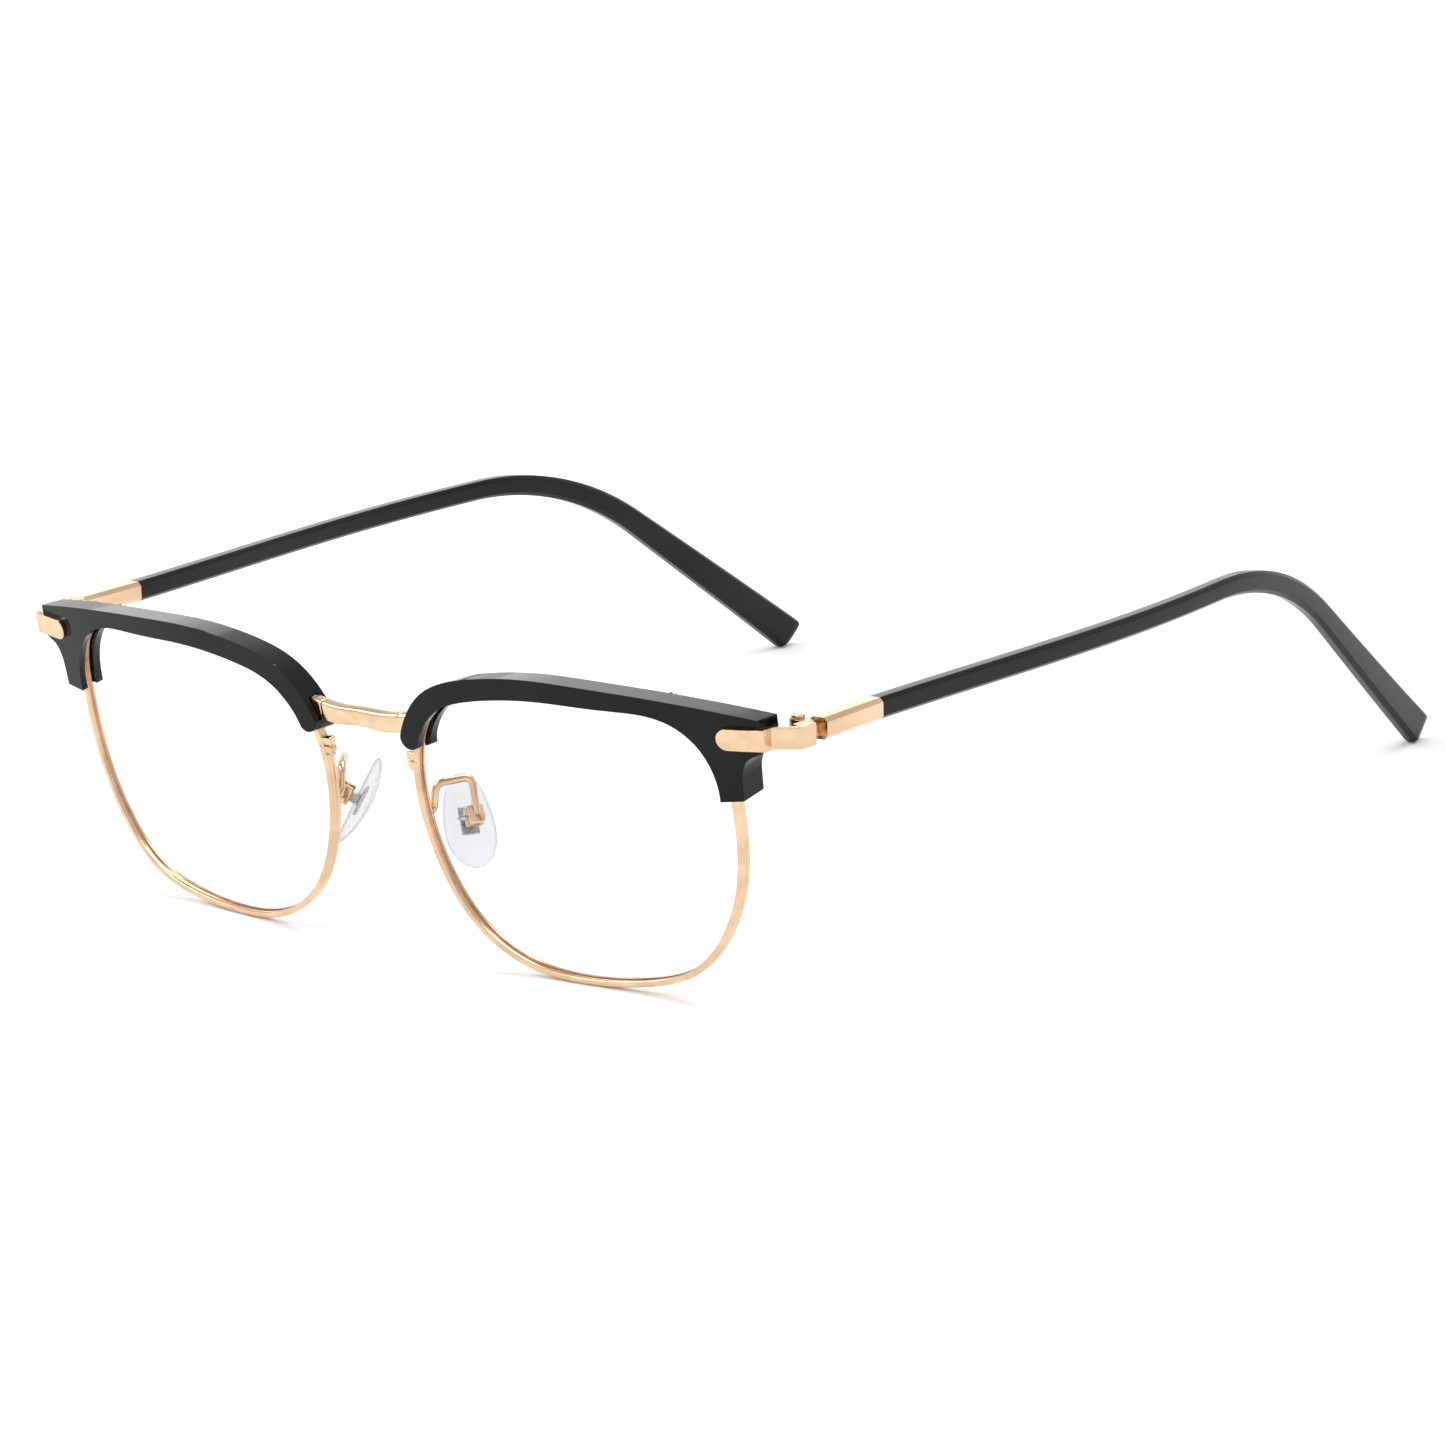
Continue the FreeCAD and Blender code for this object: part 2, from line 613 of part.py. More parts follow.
def tang(grown=0.0):
    """Flat between the middle knuckle and a slot in the sleeve's inner side."""
    span = knuckle(1).BoundBox
    return box(HINGE_X, SLEEVE_X + grown, HINGE_Y, SLEEVE_FRONT + TANG_LENGTH + grown,
               span.ZMin - grown, span.ZMax + grown)


def hinge_temple():
    """Middle knuckle with a tang that is soldered into the sleeve."""
    leaf = knuckle(1).fuse(tang()).removeSplitter()
    return leaf.cut(hinge_bore(HINGE_SCREW_RADIUS + SCREW_FIT))


def hinge_screw():
    top = HINGE_LOW + STRIP_HEIGHT
    shank = rod(HINGE_SCREW_RADIUS, Vector(HINGE_X, HINGE_Y, HINGE_LOW), Vector(HINGE_X, HINGE_Y, top))
    head_top = top + HINGE_HEAD_HEIGHT
    head = rod(HINGE_HEAD_RADIUS, Vector(HINGE_X, HINGE_Y, top), Vector(HINGE_X, HINGE_Y, head_top))
    drive = box(HINGE_X - SLOT_LENGTH, HINGE_X + SLOT_LENGTH, HINGE_Y - SLOT_WIDTH / 2,
                HINGE_Y + SLOT_WIDTH / 2, head_top - SLOT_DEPTH, head_top + SLOT_DEPTH)
    return shank.fuse(head).cut(drive)


# ---- temple ----

def sleeve():
    half = SLEEVE_THICKNESS / 2
    body = box(SLEEVE_X - half, SLEEVE_X + half, SLEEVE_FRONT, SLEEVE_BACK,
               HINGE_Z - SLEEVE_HEIGHT / 2, HINGE_Z + SLEEVE_HEIGHT / 2)
    long_edges = [edge for edge in body.Edges if abs(edge.Length - SLEEVE_LENGTH) < 0.01]
    body = body.makeChamfer(SLEEVE_CHAMFER, long_edges)
    return body.cut(tang(CORE_GAP)).cut(core_channel())


def rounded_path(points, radii):
    """Straight runs through the points, joined by tangent arcs of the given radii."""
    edges = []
    start = points[0]
    for before, corner, after, radius in zip(points, points[1:], points[2:], radii):
        back = before.sub(corner).normalize()
        ahead = after.sub(corner).normalize()
        half_angle = back.getAngle(ahead) / 2
        reach = radius / math.tan(half_angle)
        entry = corner.add(Vector(back).multiply(reach))
        leave = corner.add(Vector(ahead).multiply(reach))
        inward = back.add(ahead).normalize()
        middle = corner.add(inward.multiply(radius / math.sin(half_angle) - radius))
        edges.append(Part.makeLine(start, entry))
        edges.append(Part.Arc(entry, middle, leave).toShape())
        start = leave
    edges.append(Part.makeLine(start, points[-1]))
    return edges


def temple_side(start, reach, height, tip_height, rake, tip_round):
    """A temple from the side, with its ear bend; reach runs from the bend to the tip."""
    angle = math.radians(BEND_ANGLE)
    along = Vector(0, math.cos(angle), -math.sin(angle))
    up = Vector(0, math.sin(angle), math.cos(angle))
    bend = Vector(0, BEND_Y, HINGE_Z)
    slide = math.tan(math.radians(rake)) * tip_height / 2

    def corner_of(side):
        """Where the straight front edge and the sloping tip edge meet, and the tip corner."""
        near = bend.add(Vector(up).multiply(side * height / 2))
        tip = bend.add(Vector(along).multiply(reach + side * slide))
        tip = tip.add(Vector(up).multiply(side * tip_height / 2))
        level = HINGE_Z + side * height / 2
        share = (level - near.z) / (tip.z - near.z)
        return near.add(tip.sub(near).multiply(share)), tip

    top_corner, tip_top = corner_of(1)
    low_corner, tip_low = corner_of(-1)
    points = [
        Vector(0, start, HINGE_Z + height / 2), top_corner, tip_top, tip_low, low_corner,
        Vector(0, start, HINGE_Z - height / 2),
    ]
    radii = [BEND_RADIUS + height / 2, tip_round, tip_round, BEND_RADIUS - height / 2]
    edges = rounded_path(points, radii)
    edges.append(Part.makeLine(points[-1], points[0]))
    return Part.Wire(edges)


def tip_reach():
    """Distance from the bend to the tip that puts the tip on the table."""
    slope = math.sin(math.radians(BEND_ANGLE))
    reach = HINGE_Z / slope
    for _ in range(3):
        outline = temple_side(SLEEVE_BACK, reach, TEMPLE_HEIGHT, TIP_HEIGHT, TIP_RAKE, TIP_ROUND)
        reach += outline.optimalBoundingBox(False).ZMin / slope
    return reach


TIP_REACH = tip_reach()
TIP_Y = BEND_Y + TIP_REACH * math.cos(math.radians(BEND_ANGLE))


def temple_line():
    """Middle of the temple in plan: bowed outward, then curving in behind the ear."""
    span = TIP_Y + TIP_HEIGHT - SLEEVE_BACK
    curve = Part.BSplineCurve()
    curve.interpolate(Points=[
        Vector(SLEEVE_X + bow * TEMPLE_BOW - curl * TIP_CURVE, SLEEVE_BACK + along * span, 0)
        for along, bow, curl in TEMPLE_SHAPE])
    return curve


def temple_plan(thickness):
    """The temple from above, with a straight stretch ahead of it for the core."""
    line = temple_line()
    sides = {1: [], -1: []}
    for i in range(PLAN_STEPS + 1):
        part = i / PLAN_STEPS
        where = line.FirstParameter + (line.LastParameter - line.FirstParameter) * part
        along = line.tangent(where)[0]
        for side, points in sides.items():
            points.append(line.value(where).add(
                Vector(along.y, -along.x, 0).multiply(side * thickness / 2)))
    edges, fronts = [], []
    for side, points in sides.items():
        curve = Part.BSplineCurve()
        curve.interpolate(Points=points)
        edges.append(curve.toShape())
        front = Vector(points[0].x, SLEEVE_FRONT, 0)
        fronts.append(front)
        edges.append(Part.makeLine(front, points[0]))
    edges.append(Part.makeLine(sides[1][-1], sides[-1][-1]))
    edges.append(Part.makeLine(*fronts))
    face = Part.Face(Part.Wire(Part.sortEdges(edges)[0]))
    face.translate(Vector(0, 0, -HINGE_Z))
    return face.extrude(Vector(0, 0, 3 * HINGE_Z))


def temple_solid(side_outline, thickness):
    sheet = Part.Face(side_outline).extrude(Vector(2 * SLEEVE_X, 0, 0))
    return sheet.common(temple_plan(thickness))


def core_rod(grown, start):
    """The wire inside the temple, or its channel when grown."""
    reach = TIP_REACH - CORE_SHORT / math.cos(math.radians(BEND_ANGLE)) + grown
    height = CORE_HEIGHT + 2 * grown
    outline = temple_side(start, reach, height, height, 0, CORE_END_ROUND)
    return temple_solid(outline, CORE_THICKNESS + 2 * grown)


def core_channel():
    return core_rod(CORE_GAP, SLEEVE_BACK - CORE_IN_SLEEVE - CORE_GAP)


def temple_core():
    return core_rod(0, SLEEVE_BACK - CORE_IN_SLEEVE)


def temple():
    outline = temple_side(SLEEVE_BACK, TIP_REACH, TEMPLE_HEIGHT, TIP_HEIGHT, TIP_RAKE, TIP_ROUND)
    arm = temple_solid(outline, TEMPLE_THICKNESS)
    return arm.cut(core_channel())


# ---- nose pads ----

def pad_frame():
    """Placement of a pad: its width, its length and its face as X, Y and Z."""
    length = Vector(PAD_AXIS).normalize()
    face = PAD_FACE.sub(Vector(length).multiply(PAD_FACE.dot(length))).normalize()
    width = length.cross(face)
    centre = Vector(PAD_ACROSS, PAD_BEHIND, CREST - PAD_DROP)
    return FreeCAD.Placement(FreeCAD.Matrix(
        width.x, length.x, face.x, centre.x,
        width.y, length.y, face.y, centre.y,
        width.z, length.z, face.z, centre.z,
        0, 0, 0, 1))


def on_pad(shape):
    placed = shape.copy()
    placed.Placement = pad_frame().multiply(placed.Placement)
    return placed


def pad_point(x, y, z):
    return pad_frame().multVec(Vector(x, y, z))


def pad_insert_shape(hole_radius):
    back = -PAD_THICKNESS / 2
    plate = box(-INSERT_WIDTH / 2, INSERT_WIDTH / 2, -INSERT_LENGTH / 2, INSERT_LENGTH / 2,
                back + INSERT_COVER, back + INSERT_COVER + INSERT_THICKNESS)
    stem = box(-PAD_TAB / 2, PAD_TAB / 2, -STEM_WIDTH / 2, STEM_WIDTH / 2, -PAD_STEM,
               back + INSERT_COVER + INSERT_THICKNESS / 2)
    eye = rod(PAD_TAB_RADIUS, Vector(-PAD_TAB / 2, 0, -PAD_STEM), Vector(PAD_TAB / 2, 0, -PAD_STEM))
    insert = plate.fuse(stem).fuse(eye).removeSplitter()
    return insert.cut(rod(hole_radius, Vector(-CLEAR, 0, -PAD_STEM), Vector(CLEAR, 0, -PAD_STEM)))


def nose_pad():
    """A drop-shaped soft pad, domed towards the nose, moulded over its insert."""
    half_width, half_length = PAD_WIDTH / 2, PAD_LENGTH / 2
    right = [Vector(x * half_width, y * half_length, 0) for x, y in PAD_SHAPE]
    left = [Vector(-p.x, p.y, 0) for p in reversed(right)]
    outline = [Vector(0, -half_length, 0)] + right + [Vector(0, half_length, 0)] + left
    curve = Part.BSplineCurve()
    curve.interpolate(Points=outline, PeriodicFlag=True)
    face = Part.Face(Part.Wire(curve.toShape()))
    face.translate(Vector(0, 0, -PAD_THICKNESS / 2))
    slab = face.extrude(Vector(0, 0, PAD_THICKNESS))
    edge_drop = (1 - PAD_EDGE) * PAD_THICKNESS
    dome_radius = half_length ** 2 / (2 * edge_drop)
    dome = Part.makeSphere(dome_radius, Vector(0, 0, PAD_THICKNESS / 2 - dome_radius))
    return slab.common(dome).cut(pad_insert_shape(INSERT_FIT))


BOX_INNER = PAD_TAB / 2 + BOX_FIT
BOX_SIDE = BOX_INNER + BOX_WALL
BOX_FLOOR = -PAD_STEM - PAD_TAB_RADIUS - BOX_DEEP


def pad_screw():
    tip = -BOX_SIDE - PAD_SCREW_TIP
    head_top = BOX_SIDE + PAD_SCREW_HEAD
    shank = rod(PAD_SCREW_RADIUS, Vector(tip, 0, -PAD_STEM), Vector(BOX_SIDE, 0, -PAD_STEM))
    head = rod(PAD_HEAD_RADIUS, Vector(BOX_SIDE, 0, -PAD_STEM), Vector(head_top, 0, -PAD_STEM))
    slot = box(head_top - SLOT_DEPTH, head_top + SLOT_DEPTH, -SLOT_LENGTH, SLOT_LENGTH,
               -PAD_STEM - SLOT_WIDTH / 2, -PAD_STEM + SLOT_WIDTH / 2)
    return shank.fuse(head).cut(slot)


def pad_box():
    """The little cradle that holds the pad's tab between two cheeks."""
    half = BOX_LENGTH / 2
    cradle = box(-BOX_SIDE, BOX_SIDE, -half, half, BOX_FLOOR - BOX_WALL, -PAD_STEM + PAD_TAB_RADIUS)
    cradle = cradle.cut(box(-BOX_INNER, BOX_INNER, -BOX_LENGTH, BOX_LENGTH, BOX_FLOOR, 0))
    return cradle.cut(rod(PAD_SCREW_RADIUS, Vector(-BOX_SIDE, 0, -PAD_STEM),
                          Vector(BOX_SIDE, 0, -PAD_STEM)))


def pad_arm():
    """Gooseneck wire from the back of the eyewire over to the pad's box."""
    root_z = LOCK_Z - LOCK_HEIGHT / 2 - ARM_DROP
    root = eye_point(share_at_height(root_z, *NOSE_SHARES), -EYEWIRE_WIDTH / 2)
    back = front_depth(root.x) + EYEWIRE_DEPTH
    wall = BOX_FLOOR - BOX_WALL / 2
    over_box = pad_point(0, BOX_LENGTH / 2 + ARM_LEAD, wall - BOX_WALL / 2)
    points = [
        Vector(root.x, back - ARM_RADIUS, root.z),
        Vector(root.x, back + ARM_STANDOFF, root.z + ARM_STANDOFF / 2),
        Vector((root.x + over_box.x) / 2, over_box.y + ARM_RADIUS, over_box.z + ARM_RISE),
        over_box,
        pad_point(0, BOX_LENGTH / 4, wall),
    ]
    path = Part.Wire(rounded_path(points, ARM_BENDS))
    ring = Part.Wire(Part.makeCircle(ARM_RADIUS, points[0], points[1].sub(points[0])))
    wire = path.makePipeShell([ring], True, True)
    arm = wire.fuse(on_pad(pad_box())).cut(eye_slice(0, 0, EYEWIRE_DEPTH))
    return max(arm.Solids, key=lambda solid: solid.Volume)


# ---- assembly ----

def left_pieces():
    """Every piece of the left side, as the glasses stand."""
    return {
        "eyewire": [stood(LEFT_EYEWIRE)],
        "rim_lock_screw": [stood(rim_lock_screw())],
        "lens": [stood(lens())],
        "brow_cap": [stood(brow_cap())],
        "cap_screws": [stood(screw) for screw in cap_screws()],
        "endpiece": [endpiece()],
        "endpiece_rivets": [stood(pin) for pin in rivets()],
        "hinge_front": [hinge_front()],
        "hinge_screw": [hinge_screw()],
        "hinge_temple": [hinge_temple()],
        "temple_sleeve": [sleeve()],
        "temple_core": [temple_core()],
        "temple": [temple()],
        "pad_arm": [stood(pad_arm())],
        "pad_screw": [stood(on_pad(pad_screw()))],
        "nose_pad": [stood(on_pad(nose_pad()))],
        "pad_insert": [stood(on_pad(pad_insert_shape(PAD_SCREW_RADIUS + SCREW_FIT)))],
    }


SHARED = {"rim_lock_screw": "rim_lock_screws", "cap_screws": "cap_screws",
          "endpiece_rivets": "endpiece_rivets", "pad_screw": "pad_screws"}


def assembly():
    nodes = {"bridge": [stood(bridge())]}
    for name, solids in left_pieces().items():
        mirrored = [solid.mirror(Vector(0, 0, 0), Vector(1, 0, 0)) for solid in solids]
        if name in SHARED:
            nodes[SHARED[name]] = solids + mirrored
        else:
            nodes[name + "_left"] = solids
            nodes[name + "_right"] = mirrored
    return nodes


def centring_shift(nodes):
    """Move along Y that puts the origin under the middle of the whole."""
    whole = Part.makeCompound([solid for solids in nodes.values() for solid in solids])
    extent = whole.optimalBoundingBox(False)
    return Vector(0, -(extent.YMin + extent.YMax) / 2, 0)


NODES = assembly()
SHIFT = centring_shift(NODES)


def export():
    os.makedirs("parts", exist_ok=True)
    for name, solids in NODES.items():
        shape = solids[0] if len(solids) == 1 else Part.makeCompound(solids)
        shape.translate(SHIFT)
        shape.exportStep("parts/" + name + ".step")


export()
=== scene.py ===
import json
import math

import bmesh
import bpy
import numpy as np
from mathutils import Matrix, Vector


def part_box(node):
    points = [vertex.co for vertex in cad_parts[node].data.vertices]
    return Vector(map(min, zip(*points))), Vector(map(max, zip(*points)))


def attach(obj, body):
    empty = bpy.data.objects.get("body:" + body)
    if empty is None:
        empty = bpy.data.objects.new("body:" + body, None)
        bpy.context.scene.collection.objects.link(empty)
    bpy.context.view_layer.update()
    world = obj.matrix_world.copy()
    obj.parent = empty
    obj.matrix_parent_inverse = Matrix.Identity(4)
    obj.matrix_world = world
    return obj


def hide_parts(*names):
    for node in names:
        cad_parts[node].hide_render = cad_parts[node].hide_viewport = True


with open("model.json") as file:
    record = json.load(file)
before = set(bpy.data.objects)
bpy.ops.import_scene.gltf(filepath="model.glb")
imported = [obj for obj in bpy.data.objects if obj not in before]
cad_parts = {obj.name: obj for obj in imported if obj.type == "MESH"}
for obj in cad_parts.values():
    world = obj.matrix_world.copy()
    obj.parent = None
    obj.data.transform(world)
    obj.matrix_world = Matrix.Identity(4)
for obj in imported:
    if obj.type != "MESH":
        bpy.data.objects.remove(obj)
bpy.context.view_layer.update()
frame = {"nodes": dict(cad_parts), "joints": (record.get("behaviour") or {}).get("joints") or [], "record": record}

# Browline eyeglasses. Shapes are worked out in millimetres and stored in metres.
# +X is the wearer's left, the front faces -Y, the temples run to +Y and +Z is up.
# The front is drawn upright as (across, depth, height) and leaned forward, as in the CAD.

MM = 0.001
SIDES = (("left", 1), ("right", -1))

# ---- the CAD's driving dimensions that shapes here follow, in millimetres ----
TILT = math.radians(10.0)
FACE_RADIUS = 226.0
FACE_VERTEX = 10.0
NOSE_EDGE = 7.8
EYE_WIDTH = 51.4
EYE_HEIGHT = 43.5
EYEWIRE_WIDTH = 0.9
EYEWIRE_DEPTH = 1.6
EYE_SHAPE = [
    (0.000, 0.549), (0.035, 0.344), (0.132, 0.144), (0.276, 0.034), (0.451, 0.000),
    (0.646, 0.016), (0.811, 0.077), (0.924, 0.226), (0.986, 0.424), (1.000, 0.640),
    (0.975, 0.834), (0.870, 0.959), (0.665, 0.993), (0.471, 1.000), (0.276, 0.979),
    (0.105, 0.904), (0.021, 0.754),
]
CREST = EYE_HEIGHT + 1.5
CAP_END = NOSE_EDGE + EYE_WIDTH + 5.2
PLAQUE_DROP = 6.0
STRIP_THICKNESS = 1.1
PLAQUE_THICKNESS = 0.7
CAP_FRONT = 1.2
HINGE_SETBACK = 7.9

SLEEVE_LENGTH = 12.4
SLEEVE_THICKNESS = 2.9
SLEEVE_FROM_HINGE = 1.5
STRIP_END_FROM_HINGE = 3.65
TEMPLE_THICKNESS = 2.6
TEMPLE_HEIGHT = 3.0
TIP_HEIGHT = 5.7
BEND_REACH = 100.0
BEND_RADIUS = 60.0
BEND_ANGLE = math.radians(36.0)
TEMPLE_BOW = 3.2
TIP_CURVE = 6.4
TIP_RAKE = math.radians(15.0)

HINGE = Vector(frame["joints"][0]["pos_m"]) / MM
SLOTS = {part["node"]: part["material_slot"] for part in frame["record"]["subparts"]}
BODIES = {node: body for body, nodes in frame["record"]["behaviour"]["bodies"].items()
          for node in nodes}


# ---- curves ----

def cubic_through(knots, values, closed=False):
    """A function: the smooth cubic through the values, as the CAD interpolates them."""
    knots, values = np.array(knots, float), np.array(values, float)
    count = len(knots) - 1
    step = np.diff(knots)
    slope = np.diff(values, axis=0) / step[:, None]
    matrix = np.zeros((count + 1, count + 1))
    right = np.zeros((count + 1, values.shape[1]))
    for i in range(1, count):
        matrix[i, i - 1:i + 2] = step[i - 1], 2 * (step[i - 1] + step[i]), step[i]
        right[i] = 6 * (slope[i] - slope[i - 1])
    if closed:
        matrix[0, [0, 1, count - 1]] = 2 * (step[-1] + step[0]), step[0], step[-1]
        right[0] = 6 * (slope[0] - slope[-1])
        matrix[count, [0, count]] = 1, -1
    else:
        matrix[0, :3] = -step[1], step[0] + step[1], -step[0]
        matrix[count, -3:] = -step[-1], step[-2] + step[-1], -step[-2]
    bend = np.linalg.solve(matrix, right)

    def at(where):
        where = np.atleast_1d(np.asarray(where, float))
        i = np.clip(np.searchsorted(knots, where, "right") - 1, 0, count - 1)
        h, t = step[i][:, None], (where - knots[i])[:, None]
        left = values[i] + t * (slope[i] - h * (2 * bend[i] + bend[i + 1]) / 6)
        return left + t ** 2 * bend[i] / 2 + t ** 3 * (bend[i + 1] - bend[i]) / (6 * h)

    return at


def lengths(points):
    return np.concatenate([[0], np.cumsum(np.linalg.norm(np.diff(points, axis=0), axis=1))])


EYE_POINTS = np.array([(NOSE_EDGE + a * EYE_WIDTH, b * EYE_HEIGHT) for a, b in EYE_SHAPE])
EYE_RING = np.vstack([EYE_POINTS, EYE_POINTS[:1]])
EYE_KNOTS = lengths(EYE_RING)
EYE_AT = cubic_through(EYE_KNOTS, EYE_RING, closed=True)


def eye_points(shares, outward=0.0):
    """Points beside the eyewire's outer edge; shares run round it from the nose side."""
    shares = np.asarray(shares, float)
    where = (shares % 1.0) * EYE_KNOTS[-1]
    tiny = 1e-4
    along = EYE_AT((where + tiny) % EYE_KNOTS[-1]) - EYE_AT((where - tiny) % EYE_KNOTS[-1])
    along /= np.linalg.norm(along, axis=1)[:, None]
    return EYE_AT(where) + outward * np.stack([along[:, 1], -along[:, 0]], 1)


def front_depth(across, layer=0.0):
    """Depth of the curved front, or of the surface a layer behind it, across from the middle."""
    reach = np.abs(across) - FACE_VERTEX
    return FACE_RADIUS - np.sqrt((FACE_RADIUS - layer) ** 2 - reach ** 2)


# ---- placing the front: its corner and height come from the CAD's hinge ----

def leaned(points):
    across, depth, height = np.asarray(points, float).T
    return np.stack([across, depth * math.cos(TILT) - height * math.sin(TILT),
                     depth * math.sin(TILT) + height * math.cos(TILT)], 1)


PLAQUE_Z = CREST - PLAQUE_DROP
STRIP_OUT = CAP_END + STRIP_THICKNESS
PLAQUE_FACE = front_depth(STRIP_OUT) - CAP_FRONT - PLAQUE_THICKNESS
CORNER = leaned([(STRIP_OUT, PLAQUE_FACE, PLAQUE_Z)])[0]
PLACE = np.array([0, HINGE.y - HINGE_SETBACK - CORNER[1], HINGE.z - CORNER[2]])


def stood(points):
    return leaned(points) + PLACE


# ---- camera ----

CAMERA_ANGLES = (37.95, 14.45, -1.73)
CAMERA_PLACE = (0.45447, -0.59150, 0.20660)
CAMERA_LENS = 128.0


def make_camera():
    """At the photograph's angle: in front, to the wearer's left and a little above."""
    azimuth, elevation, roll = map(math.radians, CAMERA_ANGLES)
    back = Vector((math.sin(azimuth) * math.cos(elevation),
                   -math.cos(azimuth) * math.cos(elevation), math.sin(elevation)))
    right = Vector((math.cos(azimuth), math.sin(azimuth), 0))
    up = back.cross(right)
    turned_right = right * math.cos(roll) + up * math.sin(roll)
    turned_up = up * math.cos(roll) - right * math.sin(roll)
    data = bpy.data.cameras.new("camera")
    data.sensor_width = 36
    data.lens = CAMERA_LENS
    data.clip_start, data.clip_end = 0.01, 20
    camera = bpy.data.objects.new("camera", data)
    bpy.context.scene.collection.objects.link(camera)
    axes = Matrix((turned_right, turned_up, back)).transposed().to_4x4()
    camera.matrix_world = Matrix.Translation(CAMERA_PLACE) @ axes
    bpy.context.scene.camera = camera


# ---- materials ----

class Nodes:
    """A small helper round one material's node tree."""

    def __init__(self, name):
        self.material = bpy.data.materials.new(name)
        self.material.use_nodes = True
        self.tree = self.material.node_tree
        self.shader = self.tree.nodes["Principled BSDF"]
        self.output = self.tree.nodes["Material Output"]

    def add(self, kind, **values):
        node = self.tree.nodes.new(kind)
        for key, value in values.items():
            node.inputs[key].default_value = value
        return node

    def link(self, source, target):
        self.tree.links.new(source, target)

    def set(self, **values):
        for key, value in values.items():
            self.shader.inputs[key.replace("_", " ")].default_value = value

    def noise(self, scale, detail=3.0, stretch=(1, 1, 1)):
        """Noise on the part itself: scale is features per millimetre."""
        place = self.add("ShaderNodeTexCoord")
        mapping = self.add("ShaderNodeMapping", Scale=[s * scale / MM for s in stretch])
        texture = self.add("ShaderNodeTexNoise", Scale=1.0, Detail=detail)
        self.link(place.outputs["Object"], mapping.inputs["Vector"])
        self.link(mapping.outputs["Vector"], texture.inputs["Vector"])
        return texture.outputs["Fac"]

    def ramp(self, source, low, high, start=0.35, end=0.65):
        """A smooth blend from one colour to another as the source rises."""
        ramp = self.add("ShaderNodeValToRGB")
        ramp.color_ramp.elements[0].position = start
        ramp.color_ramp.elements[1].position = end
        ramp.color_ramp.elements[0].color = low
        ramp.color_ramp.elements[1].color = high
        self.link(source, ramp.inputs["Fac"])
        return ramp.outputs["Color"]

    def spread(self, source, low, high, start=0.3, end=0.7):
        """The source's range, mapped to a range of numbers."""
        mapping = self.add("ShaderNodeMapRange")
        values = {"From Min": start, "From Max": end, "To Min": low, "To Max": high}
        for key, value in values.items():
            mapping.inputs[key].default_value = value
        self.link(source, mapping.inputs["Value"])
        return mapping.outputs["Result"]

    def bump(self, source, strength, height):
        """height is in millimetres."""
        bump = self.add("ShaderNodeBump", Strength=strength, Distance=height * MM)
        self.link(source, bump.inputs["Height"])
        self.link(bump.outputs["Normal"], self.shader.inputs["Normal"])


def grey(value):
    return (value, value, value, 1)


def black_plastic():
    """Polished acetate: near black, with faint flow streaks and handling haze."""
    n = Nodes("black_acetate")
    n.set(IOR=1.45, Specular_IOR_Level=0.2)
    n.link(n.ramp(n.noise(0.12, stretch=(1, 0.3, 1)), (0.004, 0.005, 0.0048, 1),
                  (0.008, 0.0095, 0.009, 1)), n.shader.inputs["Base Color"])
    n.link(n.spread(n.noise(0.9, 5), 0.05, 0.10), n.shader.inputs["Roughness"])
    n.bump(n.noise(2.5, 4), 0.04, 0.01)
    return n.material


def gold(name, pale, deep, roughness):
    """Polished plating: warm colour drift, fine brush lines and soft wear."""
    n = Nodes(name)
    n.set(Metallic=1.0)
    n.link(n.ramp(n.noise(0.35, stretch=(1, 0.25, 1)), deep, pale), n.shader.inputs["Base Color"])
    n.link(n.spread(n.noise(1.6, 5, (1, 0.12, 1)), roughness - 0.04, roughness + 0.05),
           n.shader.inputs["Roughness"])
    n.bump(n.noise(5, 3, (1, 0.1, 1)), 0.04, 0.005)
    return n.material


def steel():
    n = Nodes("turned_steel")
    n.set(Metallic=1.0)
    n.link(n.ramp(n.noise(1.5), grey(0.45), (0.62, 0.60, 0.57, 1)), n.shader.inputs["Base Color"])
    n.link(n.spread(n.noise(6, 4), 0.2, 0.34), n.shader.inputs["Roughness"])
    n.bump(n.noise(9, 2), 0.06, 0.004)
    return n.material


def thin_clear(name, tint, edge_painted_reflection, shine_color, head_on, grazing, smear):
    """A clear piece: light passes straight through, and its surface shines at the sides."""
    n = Nodes(name)
    side = n.add("ShaderNodeLayerWeight", Blend=0.5).outputs["Facing"]
    through = n.add("ShaderNodeBsdfTransparent")
    # Towards its edges the see-through colour turns lavender: a painted reflection of the lens coating.
    n.link(n.ramp(side, tint, edge_painted_reflection, 0.75, 1.0), through.inputs["Color"])
    shine = n.add("ShaderNodeBsdfGlossy", Color=shine_color)
    n.link(n.spread(n.noise(smear, 3), 0.03, 0.12), shine.inputs["Roughness"])
    mix = n.add("ShaderNodeMixShader")
    n.link(n.spread(side, head_on, grazing, 0.7, 1.0), mix.inputs["Fac"])
    n.link(through.outputs["BSDF"], mix.inputs[1])
    n.link(shine.outputs["BSDF"], mix.inputs[2])
    n.link(mix.outputs["Shader"], n.output.inputs["Surface"])
    n.tree.nodes.remove(n.shader)
    return n.material


